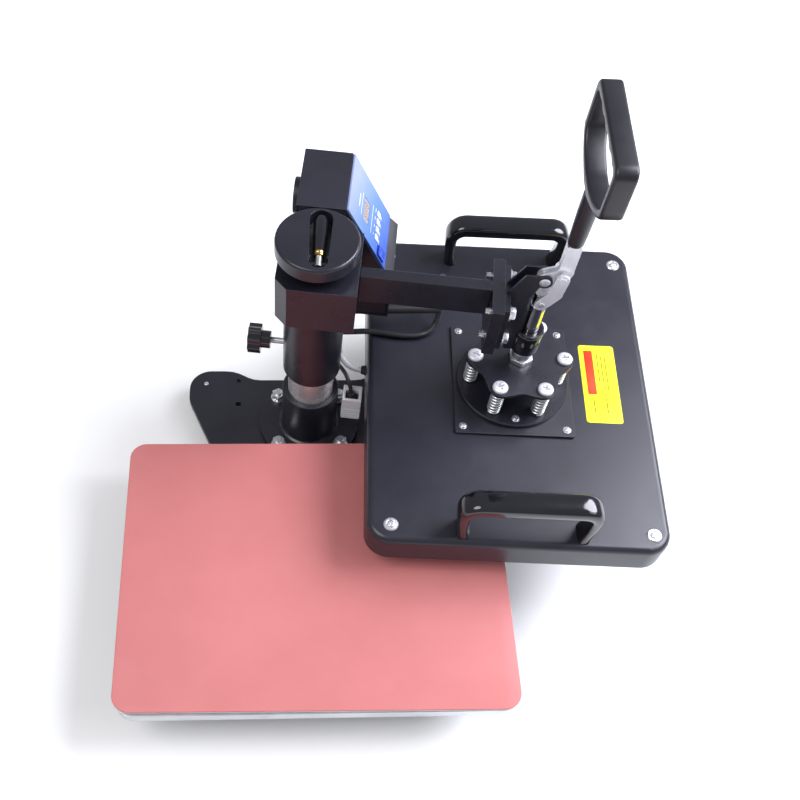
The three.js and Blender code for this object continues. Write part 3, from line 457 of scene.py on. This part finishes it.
def loft(bm, rings, closed=False):
    """Joins rings of points with quads. The ends are capped, or joined to each other if it is closed."""
    rows = [[bm.verts.new(p) for p in ring] for ring in rings]
    pairs = list(zip(rows, rows[1:])) + ([(rows[-1], rows[0])] if closed else [])
    for a, b in pairs:
        for i in range(len(a)):
            j = (i + 1) % len(a)
            bm.faces.new((a[i], a[j], b[j], b[i]))
    if not closed:
        bm.faces.new(rows[0][::-1])
        bm.faces.new(rows[-1])


def turned(profile, place, sides, bm=None, closed=False):
    """Turns pairs of radius and height about Z, then moves the result by place if there is one."""
    bm = bm or bmesh.new()
    rings = [circle(r, z, sides) for r, z in profile]
    if place is not None:
        rings = [[place @ p for p in ring] for ring in rings]
    loft(bm, rings, closed=closed)
    return bm


def hexagon(flats):
    """The radius of a hexagon by angle."""
    return lambda a: flats / 2 / math.cos((a + math.pi / 6) % (math.pi / 3) - math.pi / 6)


def cross(reach, half):
    """The radius of a cross recess by angle, with arms of a given reach and half width."""
    def radius(a):
        b = (a + math.pi / 4) % (math.pi / 2) - math.pi / 4
        return min(reach / math.cos(b), half / max(abs(math.sin(b)), 1e-6))
    return radius


def pan_screw(bm, place, radius, height):
    """A pan head with a cross recess in its top."""
    reach, half = radius * 0.52, radius * 0.15
    turned([
        (radius * 0.97, 0), (radius, height * 0.15), (radius, height * 0.5),
        (radius * 0.93, height * 0.78), (radius * 0.76, height), (cross(reach, half), height),
        (cross(reach * 0.92, half * 0.85), height * 0.9), (cross(reach * 0.55, half * 0.6), height * 0.25),
    ], place, 48, bm)


def hex_head(bm, place, flats, height, hole=0.0):
    """A bolt head with its corners turned off, or a nut if it has a hole, which is a shallow recess."""
    profile = [
        (flats * 0.47, 0), (hexagon(flats), height * 0.1), (hexagon(flats), height * 0.86),
        (flats * 0.475, height),
    ]
    if hole:
        profile += [(hole, height), (hole, height - 1.2)]
    turned(profile, place, 48, bm)


def washer(bm, place, inner, outer, thickness):
    """A flat washer with its outer edges broken."""
    chamfer = min(0.3, thickness * 0.25)
    turned([
        (inner, 0), (outer - chamfer, 0), (outer, chamfer), (outer, thickness - chamfer),
        (outer - chamfer, thickness), (inner, thickness),
    ], place, 40, bm, closed=True)


def outline(width, length, corner, steps, cx, cy):
    """A rounded rectangle as points in order."""
    points = []
    for k, (sx, sy) in enumerate([(1, 1), (-1, 1), (-1, -1), (1, -1)]):
        x, y = cx + sx * (width / 2 - corner), cy + sy * (length / 2 - corner)
        for i in range(steps + 1):
            a = math.pi / 2 * (k + i / steps)
            points.append((x + corner * math.cos(a), y + corner * math.sin(a)))
    return points


def plate(width, length, corner, z0, z1, edge, cx=0.0, cy=0.0, steps=8, bm=None):
    """A rounded plate whose edges are rolled over."""
    bm = bm or bmesh.new()
    rings = []
    for inset, z in [(edge, z0), (edge * 0.3, z0 + edge * 0.3), (0, z0 + edge), (0, z1 - edge),
                     (edge * 0.3, z1 - edge * 0.3), (edge, z1)]:
        points = outline(width - 2 * inset, length - 2 * inset, max(corner - inset, 0.05), steps, cx, cy)
        rings.append([Vector((x, y, z)) for x, y in points])
    loft(bm, rings)
    return bm


CHORDS = 6


def smooth_line(points):
    """A centripetal Catmull-Rom curve through points, as short chords."""
    pts = [Vector(p) for p in points]
    pts = [pts[0] * 2 - pts[1]] + pts + [pts[-1] * 2 - pts[-2]]
    line = []
    for a, b, c, d in zip(pts, pts[1:], pts[2:], pts[3:]):
        t0 = 0.0
        t1 = t0 + (b - a).length ** 0.5
        t2 = t1 + (c - b).length ** 0.5
        t3 = t2 + (d - c).length ** 0.5
        for i in range(CHORDS):
            t = t1 + (t2 - t1) * i / CHORDS
            a1 = a * ((t1 - t) / (t1 - t0)) + b * ((t - t0) / (t1 - t0))
            a2 = b * ((t2 - t) / (t2 - t1)) + c * ((t - t1) / (t2 - t1))
            a3 = c * ((t3 - t) / (t3 - t2)) + d * ((t - t2) / (t3 - t2))
            b1 = a1 * ((t2 - t) / (t2 - t0)) + a2 * ((t - t0) / (t2 - t0))
            b2 = a2 * ((t3 - t) / (t3 - t1)) + a3 * ((t - t1) / (t3 - t1))
            line.append(b1 * ((t2 - t) / (t2 - t1)) + b2 * ((t - t1) / (t2 - t1)))
    return line + [pts[-2]]


def directions(line):
    """The direction of a line at each of its points."""
    return [(b - a).normalized() for a, b in zip([line[0]] + line[:-1], line[1:] + [line[-1]])]


def sweep(bm, line, section, up=Vector((0, 0, 1))):
    """Carries a section along a line without twist. section(i) gives points across and above the line."""
    rings = []
    side = None
    for i, (p, ahead) in enumerate(zip(line, directions(line))):
        if side is None:
            side = ahead.cross(up)
        side = (side - ahead * side.dot(ahead)).normalized()
        above = side.cross(ahead)
        rings.append([p + side * a + above * b for a, b in section(i)])
    loft(bm, rings)


def distances(line):
    """How far along a line each of its points is."""
    travelled = [0.0]
    for a, b in zip(line, line[1:]):
        travelled.append(travelled[-1] + (b - a).length)
    return travelled


def tube_section(radius, sides):
    """A round section for sweep. The radius may be a function of the ring's number."""
    def section(i):
        r = radius(i) if callable(radius) else radius
        return [(r * math.cos(TAU * k / sides), r * math.sin(TAU * k / sides)) for k in range(sides)]
    return section


def add_uv(obj, line, sides):
    """UVs for a swept tube: once round in u, and metres along in v."""
    mesh = obj.data
    travelled = [d / 1000 for d in distances(line)]
    layer = mesh.uv_layers.new(name="UVMap")
    for polygon in mesh.polygons:
        corners = list(polygon.loop_indices)
        rounds = [mesh.loops[c].vertex_index % sides for c in corners]
        wraps = max(rounds) - min(rounds) > sides / 2
        for c, k in zip(corners, rounds):
            row = mesh.loops[c].vertex_index // sides
            turn = (k + sides if wraps and k == 0 else k) / sides
            layer.data[c].uv = (turn, travelled[min(row, len(travelled) - 1)])


# ---------- leads: from the control box to the platen and to the connector ----------
CABLE_ROUTE = [
    (-4, 62, 179), (-4, 60.5, 170), (-2, 55, 162), (4, 48, 152.5), (13, 42.5, 145.5), (25, 41.5, 141.6),
    (38, 43.5, 140.6), (52, 46, 140.5), (66, 46.2, 140.5), (80, 45.4, 140.5), (94, 45.6, 140.5),
    (107.5, 48, 140.5), (117.5, 53.5, 141.2), (123.5, 61, 145), (126.2, 68.5, 153.5), (126.3, 74, 164.5),
    (126, 82, 173.5), (126, 93, 176.5), (126, 103.5, 171.5), (126, 110, 161), (126, 112, 150),
    (126, 112, 139),
]
HEATER_ROUTE = [
    (24, 62, 179), (24, 62, 168), (24, 61.5, 156), (23.8, 58.5, 144), (23.6, 53.5, 134), (24, 46.5, 125.5),
    (25.5, 38, 119.5), (29, 29, 116.8), (34, 21, 116.6), (41, 15, 117.4), (49.5, 12.1, 118),
    (57.5, 12.1, 118),
]
SENSOR_ROUTE = [
    (10, 62, 179), (10, 61.5, 164), (10.2, 58.5, 151.5), (11, 53, 139.5), (12.8, 46, 129.5), (16, 38, 121.5),
    (20.5, 29.5, 116.5), (25.5, 21.5, 114), (31.5, 14, 114), (36.4, 6.5, 114.6), (40.2, -0.5, 112),
    (43, -5, 107), (43.9, -7, 101), (44, -7.5, 95), (44, -7.5, 88),
]
BOOT_FOOT = 158


def add_lead(name, route, radius, node, material, bend=None):
    """A lead with a ribbed boot at the control box. If bend is given, the lead and its boot ride on no body
    and stay where they are built; the two ends it holds are not used.
    """
    line = smooth_line(route)
    bm = bmesh.new()
    sides = 16
    sweep(bm, line, tube_section(radius, sides), up=Vector((1, 0, 0)))
    lead = put(name, bm, HEAD, None if bend else "head", material, 60, (node,))
    if material == "braid":
        add_uv(lead, line, sides)
    if bend:
        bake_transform(lead)
    boot = bmesh.new()
    part = [p for p in line if p.z > BOOT_FOOT]
    last = len(part) - 1

    def boot_radius(i):
        return radius + 0.5 + 1.5 * (1 - i / last) ** 0.8 * (1 + 0.05 * (i % 2))

    sweep(boot, part, tube_section(boot_radius, 20), up=Vector((1, 0, 0)))
    relief = put(name + "_boot", boot, HEAD, None if bend else "head", "rubber", 60)
    if bend:
        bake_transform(relief)


add_lead("lead_platen", CABLE_ROUTE, 3.0, "platen_cable", "cable",
         ((-4, 50, 160), (60, 50, 160)))
add_lead("lead_heater", HEATER_ROUTE, 3.0, "heater_lead", "braid",
         ((24, 62, 160), (45, 13, 117)))
add_lead("lead_sensor", SENSOR_ROUTE, 2.2, "sensor_lead", "cable")


# ---------- base ----------
def add_pad():
    """The silicone sheet on two white layers, with a thin dark red line under it that is painted shade along
    the silicone's edge.
    """
    def layer(name, inset, z0, z1, edge, material, slot, stands_for=()):
        width, length = PAD_WIDTH - 2 * inset, PAD_LENGTH - 2 * inset
        bm = plate(width, length, PAD_CORNER - inset, z0, z1, edge, cy=PAD_Y, steps=12)
        return put(name, bm, PRESS, "base", material, 40, stands_for)

    pad = layer("pad_silicone", 0.0, 74.4, 78.0, 1.1, "silicone", "pink_silicone", ("silicone_pad",))
    # The dark red line is painted shade: it stands for the shade along the underside of the silicone's rolled
    # edge.
    layer("pad_shade_line", 0.9, 73.9, 74.4, 0.1, "red_line", "pink_silicone")
    layer("pad_backing", 0.6, 71.9, 73.9, 0.5, "backing", "white_plastic")
    layer("pad_underlay", 1.3, 70.0, 71.8, 0.5, "backing", "white_plastic")


def add_base_fasteners():
    nuts = bmesh.new()
    for x, y in [(34.5, 32), (-34.5, 32), (34.5, -32), (-34.5, -32)]:
        washer(nuts, shift(x, y, FLANGE_TOP), 4.3, 8.2, 1.5)
        hex_head(nuts, shift(x, y, FLANGE_TOP + 1.6) @ about_z(x + y), 13, 6.4, 4.0)
        turned([(3.9, 0), (3.9, 9.2), (3.3, 9.8)], shift(x, y, FLANGE_TOP + 0.6), 24, nuts)
    put("flange_nuts", nuts, PRESS, "base", "zinc")
    screws = bmesh.new()
    for x, y in [(118, 57), (-118, 57), (118, -308), (-118, -308)]:
        pan_screw(screws, shift(x, y, BASE_TOP + 0.02) @ about_z(31 + x), 2.6, 0.9)
    put("foot_screws", screws, PRESS, "base", "zinc")
    bead = bmesh.new()
    turned([(30.2, 0), (33.4, 0), (32.4, 0.6), (31.0, 1.4), (30.4, 2.8), (30.2, 3.4)],
           shift(0, 0, FLANGE_TOP + 0.05), 48, bead, closed=True)
    put("socket_weld", bead, PRESS, "base", "casting")


# ---------- head ----------
def add_head_details():
    bolts = bmesh.new()
    nuts = bmesh.new()
    for z in (236, 269):
        for y in (-21, 21):
            washer(bolts, shift(177.4, y, z) @ TURN_RIGHT, 3.3, 7.6, 1.4)
            hex_head(bolts, shift(178.9, y, z) @ TURN_RIGHT @ about_z(y + z), 11, 4.4)
            turned([(2.9, 0), (2.9, 24.0)], shift(156.4, y, z) @ TURN_RIGHT, 24, bolts)
            turned([(3.4, 0), (3.4, 1.6), (2.7, 2.4)], shift(160.8, y, z) @ TURN_LEFT, 24, nuts)
    put("clamp_bolts", bolts, HEAD, "head", "zinc")
    put("clamp_nuts", nuts, HEAD, "head", "zinc")

    caps = bmesh.new()
    for end, turn in ((6.8, -1), (-6.8, 1)):
        place = shift(203.5, end, 297) @ Matrix.Rotation(turn * math.pi / 2, 4, "X")
        turned([(4.8, 0), (4.8, 0.25), (4.4, 0.42), (2.4, 0.42), (2.1, 0.2)], place, 32, caps)
    put("pivot_heads", caps, HEAD, "head", "zinc")

    collar = bmesh.new()
    turned([(7.9, 0), (11.0, 0), (13.0, 1.4), (13.4, 3), (13.4, 24), (12.8, 26.5), (11.0, 28.2), (7.9, 28.2)],
           shift(GUIDE_X, 0, 199.9), 40, collar, closed=True)
    put("guide_sleeve", collar, HEAD, "head", "gloss")

    screws = bmesh.new()
    for x, z in [(-18, 182), (64, 182), (-18, 308), (14, 308)]:
        pan_screw(screws, shift(x, HOUSING_BACK, z) @ TURN_BACK, 3.1, 1.6)
    put("housing_screws", screws, HEAD, "head", "zinc")

    insert = bmesh.new()
    turned([(11.8, 0), (11.8, 1.2), (10.8, 1.6), (3.0, 1.6), (2.4, 1.0)],
           shift(-25.4, SOCKET_Y, SOCKET_Z) @ TURN_LEFT, 40, insert)
    put("socket_insert", insert, HEAD, "head", "rubber")
    pins = bmesh.new()
    for k in range(5):
        a = TAU * k / 5 + 0.3
        y, z = SOCKET_Y + 6.4 * math.cos(a), SOCKET_Z + 6.4 * math.sin(a)
        turned([(0.9, 0), (0.9, 3.4), (0.5, 4.0)], shift(-26.1, y, z) @ TURN_LEFT, 16, pins)
    put("socket_pins", pins, HEAD, "head", "brass")
    blades = bmesh.new()
    for x, z in [(38.5, 200), (49.5, 200), (44, 205)]:
        turned([(1.0, 0), (1.0, 4.6), (0.6, 5.2)], shift(x, HOUSING_BACK + 2.4, z) @ TURN_BACK, 16, blades)
    put("inlet_pins", blades, HEAD, "head", "zinc")

    plug = plate(12.6, 9.6, 1.6, 86.4, 95.6, 0.7, cx=CONNECTOR_X, cy=CONNECTOR_LEAD_Y)
    turned([(4.6, 0), (4.4, 3.5), (3.4, 7.2), (2.6, 8.4)],
           shift(CONNECTOR_LEAD_X, CONNECTOR_LEAD_Y, 95.3), 24, plug)
    put("connector_plug", plug, HEAD, "head", "rubber")
    ribs = bmesh.new()
    for z in (70, 74, 78, 82):
        plate(20.7, 20.7, 1.6, z, z + 1.5, 0.4, cx=CONNECTOR_X, cy=-6.0, bm=ribs)
    put("connector_ribs", ribs, HEAD, "head", "white")


def add_bars(bm, bars, corner, low, high):
    """Thin printed bars, each given by its middle and its size."""
    for x, y, width, length in bars:
        plate(width, length, corner, low, high, 0.02, cx=x, cy=y, steps=2, bm=bm)


def add_panel_details():
    """The display with all the bars of its three blank digits, and plain bars for the printed marks."""
    glass = plate(10.0, 26.0, 1.2, 1.5, 2.0, 0.15, cx=-7.5, cy=-5.5)
    put("display_window", glass, PANEL, "head", "glass")
    digits = bmesh.new()
    for y in (-12.5, -5.5, 1.5):
        across = [(x, y, 0.8, 3.2) for x in (-10.9, -7.5, -4.1)]
        upright = [(x, y + step, 2.6, 0.8) for x in (-9.2, -5.8) for step in (-2.0, 2.0)]
        add_bars(digits, across + upright, 0.3, 2.0, 2.08)
    put("display_digits", digits, PANEL, "head", "digit")
    marks = bmesh.new()
    for i, y in enumerate((-17, -7, 3, 13)):
        add_bars(marks, [(22.6, y, 0.8, 5.0), (10.6, y, 0.8, 2.2 + i)], 0.35, 2.2, 2.27)
    add_bars(marks, [(4.5, -4, 0.6, 36), (-17.5, -5, 0.6, 28), (-22.5, -5, 1.2, 16)], 0.25, 2.2, 2.27)
    put("panel_marks", marks, PANEL, "head", "print")


# ---------- springs, pressure disc, lever sleeve and ring grip ----------
def add_springs():
    """Six die springs with closed ends, set between the star and the disc."""
    turns, wire, radius = 7.4, 1.25, 5.85
    bottom, top = 145.2 + wire, 177.4 - wire
    closed = 0.9
    steps = 150
    span = top - bottom - 4 * wire * closed
    for i, (cx, cy) in enumerate(BOLT_RING):
        line = []
        for k in range(steps + 1):
            t = turns * k / steps
            low = min(t, closed) * 2 * wire
            high = max(0.0, t - (turns - closed)) * 2 * wire
            share = min(max((t - closed) / (turns - 2 * closed), 0.0), 1.0)
            a = TAU * t + 0.9 * i
            z = bottom + low + high + span * share
            line.append(Vector((cx + radius * math.cos(a), cy + radius * math.sin(a), z)))
        bm = bmesh.new()
        sweep(bm, line, tube_section(wire, 10))
        coil = put(f"coil_{i + 1}", bm, SPINDLE, None, "spring", 60, (f"spring_{i + 1}",))
        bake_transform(coil)


def add_pressure_disc():
    bm = turned([
        (55.7, 140.3), (56.5, 141.1), (56.5, 144.2), (55.7, DISC_TOP), (9.5, DISC_TOP), (9.0, 144.6),
        (9.0, 142),
    ], None, 96)
    put("disc_plate", bm, SPINDLE, "platen", "casting", stands_for=("pressure_disc",))
    shanks = bmesh.new()
    heads = bmesh.new()
    small = bmesh.new()
    for i, (x, y) in enumerate(BOLT_RING):
        turned([(3.6, 144.6), (3.6, 181.6)], shift(x, y), 24, shanks)
        pan_screw(heads, shift(x, y, 181.3) @ about_z(47 * i + 13), 7.7, 3.6)
    for a in (90, 270):
        x, y = 48 * math.cos(math.radians(a)), 48 * math.sin(math.radians(a))
        washer(small, shift(x, y, DISC_TOP), 2.0, 4.2, 0.6)
        pan_screw(small, shift(x, y, DISC_TOP + 0.6) @ about_z(a / 4), 3.3, 1.9)
    put("bolt_shanks", shanks, SPINDLE, "platen", "zinc")
    put("bolt_heads", heads, SPINDLE, "platen", "dull_zinc")
    put("disc_screws", small, SPINDLE, "platen", "zinc")


def add_lever_sleeve():
    """The moulded sleeve on the lever, a little thicker towards the ring."""
    profile = [(4.8, 341), (6.2, 341), (6.9, 341.9), (7.2, 343.4)]
    for k in range(1, 12):
        t = k / 12
        profile.append((7.2 + 1.1 * t + 0.35 * math.sin(math.pi * t), 343.4 + 53 * t))
    profile += [(8.3, 397.5), (7.9, 399.3), (7.0, 400), (4.8, 400)]
    bm = turned(profile, shift(LEVER_X, 0), 40, closed=True)
    put("sleeve_moulding", bm, HEAD, "lever", "grip", 50, ("lever_sleeve",))


def ring_path(inset):
    """The ring grip's outline, from the middle of its foot round to the same place, across by up."""
    half, top = 54 - inset, 466 - inset
    shoulder, point = 422 + 0.4 * inset, 400 + 1.15 * inset
    corner = max(9 - inset * 0.6, 3)

    def bow(a, b, c, n):
        return [tuple((1 - t) ** 2 * p + 2 * t * (1 - t) * q + t * t * r for p, q, r in zip(a, b, c))
                for t in (k / n for k in range(n))]

    side = [(0, point), (5, point)] + bow((9, point), (half - 8, shoulder - 12), (half, shoulder), 12)
    side += [(half, shoulder + (top - corner - shoulder) * k / 4) for k in range(4)]
    side += [(half - corner + corner * math.cos(a), top - corner + corner * math.sin(a))
             for a in (math.pi / 2 * k / 8 for k in range(9))]
    side += [((half - corner) * (1 - k / 12), top) for k in range(1, 13)]
    return side + [(-x, y) for x, y in side[-2:0:-1]]


def add_ring_grip():
    """A pentagon loop with rolled edges and four finger hollows under its top bar."""
    outer, inner = ring_path(0), ring_path(8)
    bm = bmesh.new()
    rings = []
    depth, roll, finger = 9.0, 2.6, 19.5
    for (ox, oz), (ix, iz) in zip(outer, inner):
        flat = max(0.0, 1 - (abs(ix) / 40) ** 8) if iz > 440 else 0.0
        hollow = flat * (0.9 - 0.9 * math.cos(TAU * ix / finger)) * 0.9
        iz += hollow - 0.6 * flat
        o, i = Vector((0, ox, oz)), Vector((0, ix, iz))
        inward = (i - o).normalized()
        thick = (i - o).length
        far, front = thick - roll, depth - roll
        ring = []
        for quarter, (u, v) in enumerate([(far, front), (roll, front), (roll, -front), (far, -front)]):
            for k in range(5):
                a = math.pi / 2 * (quarter + k / 4)
                ring.append(o + inward * (u + roll * math.cos(a)) + Vector((v + roll * math.sin(a), 0, 0)))
        rings.append(ring)
    loft(bm, rings, closed=True)
    place = HEAD @ shift(LEVER_X, 0) @ about_z(RING_TURN)
    put("ring_moulding", bm, place, "lever", "grip", 50, ("ring_grip",))


# ---------- heated platen ----------
def add_bow_handle(name, y, node):
    """A cast bow: two lean legs that swell into a rounded bar, with a boss at each foot."""
    foot, top_half, height = 57.0, 58.0, 48.7
    half = [(foot, 0.0), (foot + 1.0, 6.0), (foot + 2.0, 13.0), (foot + 2.9, 20.0), (foot + 3.3, 27.0)]
    corner = 15.0
    centre_x, centre_z = top_half - corner + 2.3, height - corner
    half += [(centre_x + corner * math.cos(a), centre_z + corner * math.sin(a))
             for a in (math.pi / 2 * k / 9 for k in range(10))]
    half += [(centre_x * (1 - k / 9), height) for k in range(1, 10)]
    line = [Vector((x, y, COVER_TOP + 0.35 + z)) for x, z in half]
    line += [Vector((-p.x, p.y, p.z)) for p in line[-2::-1]]
    travelled = distances(line)
    whole = travelled[-1]
    power = 0.62

    def section(i):
        """A rounded rectangle that is thin at a foot, swells into the bar and has a boss at the very end."""
        d = min(travelled[i], whole - travelled[i])
        grown = min(max((d - 8) / 50, 0.0), 1.0)
        grown = grown * grown * (3 - 2 * grown)
        boss = max(0.0, 1 - d / 7) ** 2
        wide = 5.2 + 2.8 * grown + 1.3 * boss
        deep = 11.0 + 0.9 * grown + 0.9 * boss
        points = []
        for k in range(28):
            a = TAU * k / 28
            c, s = math.cos(a), math.sin(a)
            u, v = math.copysign(abs(c) ** power, c), math.copysign(abs(s) ** power, s)
            points.append((deep * u, wide * v))
        return points

    bm = bmesh.new()
    across = Vector((0, 1, 0))
    ahead = directions(line)
    ahead[0], ahead[-1] = Vector((0, 0, 1)), Vector((0, 0, -1))
    rings = []
    for i, p in enumerate(line):
        above = across.cross(ahead[i])
        rings.append([p + across * a + above * b for a, b in section(i)])
    loft(bm, rings)
    put(name, bm, SPINDLE, "platen", "gloss", 50, (node,))


def add_platen_details():
    cups = bmesh.new()
    heads = bmesh.new()
    for x in (-124.5, 124.5):
        for y in (-169, 169):
            place = shift(x, y, COVER_TOP)
            turned([(7.2, 0), (7.2, 0.35), (6.3, 1.2), (4.6, 1.35), (3.7, 0.7)], place, 40, cups)
            pan_screw(heads, shift(x, y, COVER_TOP + 0.5) @ about_z(x + y / 2), 3.7, 1.5)
    put("cup_washers", cups, SPINDLE, "platen", "zinc")
    put("cover_screws", heads, SPINDLE, "platen", "zinc")
    small = bmesh.new()
    for x in (-52, 52):
        for y in (-56, 64):
            washer(small, shift(x, y, COVER_TOP + 3), 2.0, 4.0, 0.5)
            pan_screw(small, shift(x, y, COVER_TOP + 3.5) @ about_z(x * y), 3.0, 1.5)
    put("plate_screws", small, SPINDLE, "platen", "zinc")
    label_top = COVER_TOP + 0.3
    label = plate(37, 98, 3.2, COVER_TOP, label_top, 0.08, cx=92.5, cy=5.5)
    put("plate_label", label, SPINDLE, "platen", "yellow")
    band = plate(9, 56, 0.8, label_top, label_top + 0.06, 0.02, cx=83.5, cy=19.5, steps=3)
    put("label_band", band, SPINDLE, "platen", "red")
    lines = bmesh.new()
    ruled = [(92.5, 24, 0.7, 40), (96.5, 24, 0.7, 40), (100.5, 20, 0.7, 48), (84, -22, 0.8, 18),
             (97, -22, 0.8, 18)]
    add_bars(lines, ruled, 0.3, label_top, label_top + 0.06)
    put("label_lines", lines, SPINDLE, "platen", "ink")
    grommet = bmesh.new()
    hole = SPINDLE.inverted() @ HEAD @ Vector(HEATER_ROUTE[-1])
    place = Matrix.Translation(hole) @ about_z(-PLATEN_TURN) @ TURN_LEFT
    turned([(3.7, -1.5), (5.6, -1.5), (5.6, 1.2), (4.8, 2.4), (4.4, 5.5), (3.7, 5.8)],
           place, 24, grommet, closed=True)
    put("lead_grommet", grommet, SPINDLE, "platen", "rubber")


# ---------- handwheel and lock ----------
def add_wheel_details():
    ferrule = bmesh.new()
    place = shift(CRANK_X, CRANK_Y, CRANK_Z) @ TURN_BACK
    turned([
        (3.2, 8.2), (4.7, 8.8), (4.9, 9.6), (4.9, 10.6), (4.5, 11.2), (4.9, 11.8), (4.9, 13.2), (4.2, 14.0),
    ], place, 32, ferrule)
    put("crank_ferrule", ferrule, WHEEL, "crank", "brass")
    neck = bmesh.new()
    turned([(3.15, -3.1), (3.15, 8.4)], place, 24, neck)
    put("crank_neck", neck, WHEEL, "crank", "zinc")
    seat = bmesh.new()
    washer(seat, shift(CRANK_X, CRANK_Y, CRANK_Z - 6.9), 3.2, 7.6, 1.2)
    put("crank_seat", seat, WHEEL, "wheel", "casting")
    screw = bmesh.new()
    turned([(3.05, 0), (3.2, 0.5)] + [(3.05 + 0.18 * (k % 2), 0.5 + 0.55 * k) for k in range(1, 26)],
           shift(-28.6, 0, LOCK_Z) @ TURN_LEFT, 24, screw)
    put("lock_thread", screw, HEAD, "lock_knob", "zinc")
    cap = bmesh.new()
    turned([(7.2, 0), (7.2, 0.3), (6.4, 0.9), (3.0, 1.2)], shift(-64.9, 0, LOCK_Z) @ TURN_LEFT, 32, cap)
    put("knob_cap", cap, HEAD, "lock_knob", "gloss")


# ---------- finishes of the CAD nodes ----------
def dress(material, *names, edge):
    """Gives CAD nodes a material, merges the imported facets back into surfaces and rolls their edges."""
    for name in names:
        obj = NODES[name]
        mesh = obj.data
        mesh.materials.clear()
        mesh.materials.append(MAT[material])
        mesh.polygons.foreach_set("material_index", [0] * len(mesh.polygons))
        mesh.polygons.foreach_set("use_smooth", [True] * len(mesh.polygons))
        weld = obj.modifiers.new("weld", "WELD")
        weld.merge_threshold = 0.00001
        flatten = obj.modifiers.new("flatten", "DECIMATE")
        flatten.decimate_type, flatten.angle_limit = "DISSOLVE", math.radians(1.0)
        bevel = obj.modifiers.new("edge", "BEVEL")
        bevel.width, bevel.segments = edge / 1000, 2
        bevel.limit_method, bevel.angle_limit = "ANGLE", math.radians(SMOOTH_ANGLE)
        bevel.use_clamp_overlap = True
        bevel.harden_normals = False
        normal = obj.modifiers.new("normals", "WEIGHTED_NORMAL")
        normal.weight, normal.keep_sharp = 60, False


def dress_frame():
    dress("powder", "base_plate", "platen_stand", "column_socket", "auxiliary_socket", edge=0.8)
    dress("rubber", "foot_rear_left", "foot_rear_right", "foot_front_left", "foot_front_right", edge=1.0)
    dress("post", "post", edge=0.8)
    dress("aluminium", "lower_platen", edge=0.7)
    dress("brass", "guide_bush", "thrust_washer", "lock_pad", edge=0.3)
    dress("casting", "head_sleeve", "head_box", "swing_arm", "end_plate", edge=0.8)
    dress("powder", "control_housing", "control_lid", edge=1.0)
    dress("film", "control_panel", edge=0.2)
    dress("white", "key_1", "key_2", "key_3", "key_4", edge=0.6)
    dress("rocker", "power_rocker", edge=0.9)
    dress("gloss", "mains_inlet", edge=0.6)
    dress("white", "lead_connector", edge=0.9)
    dress("casting", "handwheel", edge=1.6)
    dress("zinc", "lead_screw", "frame_pin", "lever_pin", "ram_pin", "ring_nut", edge=0.4)
    dress("gloss", "crank_grip", edge=0.2)
    dress("gloss", "lock_knob", edge=0.9)
    dress("chrome", "plunger", edge=0.5)
    dress("casting", "clamp_frame", edge=0.7)
    dress("strip", "toggle_lever", "toggle_link", edge=0.5)
    dress("casting", "star_plate", edge=0.6)
    dress("powder", "mounting_plate", edge=0.6)
    dress("cover", "platen_cover", edge=0.5)
    dress("heat_face", "heat_plate", edge=0.5)
    dress("fibre", "insulation_blanket", edge=0.5)
    dress("rubber", "cable_gland", edge=0.5)


add_pad()
add_base_fasteners()
add_head_details()
add_panel_details()
add_springs()
add_pressure_disc()
add_lever_sleeve()
add_ring_grip()
add_bow_handle("bow_front", -170, "handle_front")
add_bow_handle("bow_rear", 170, "handle_rear")
add_platen_details()
add_wheel_details()
dress_frame()
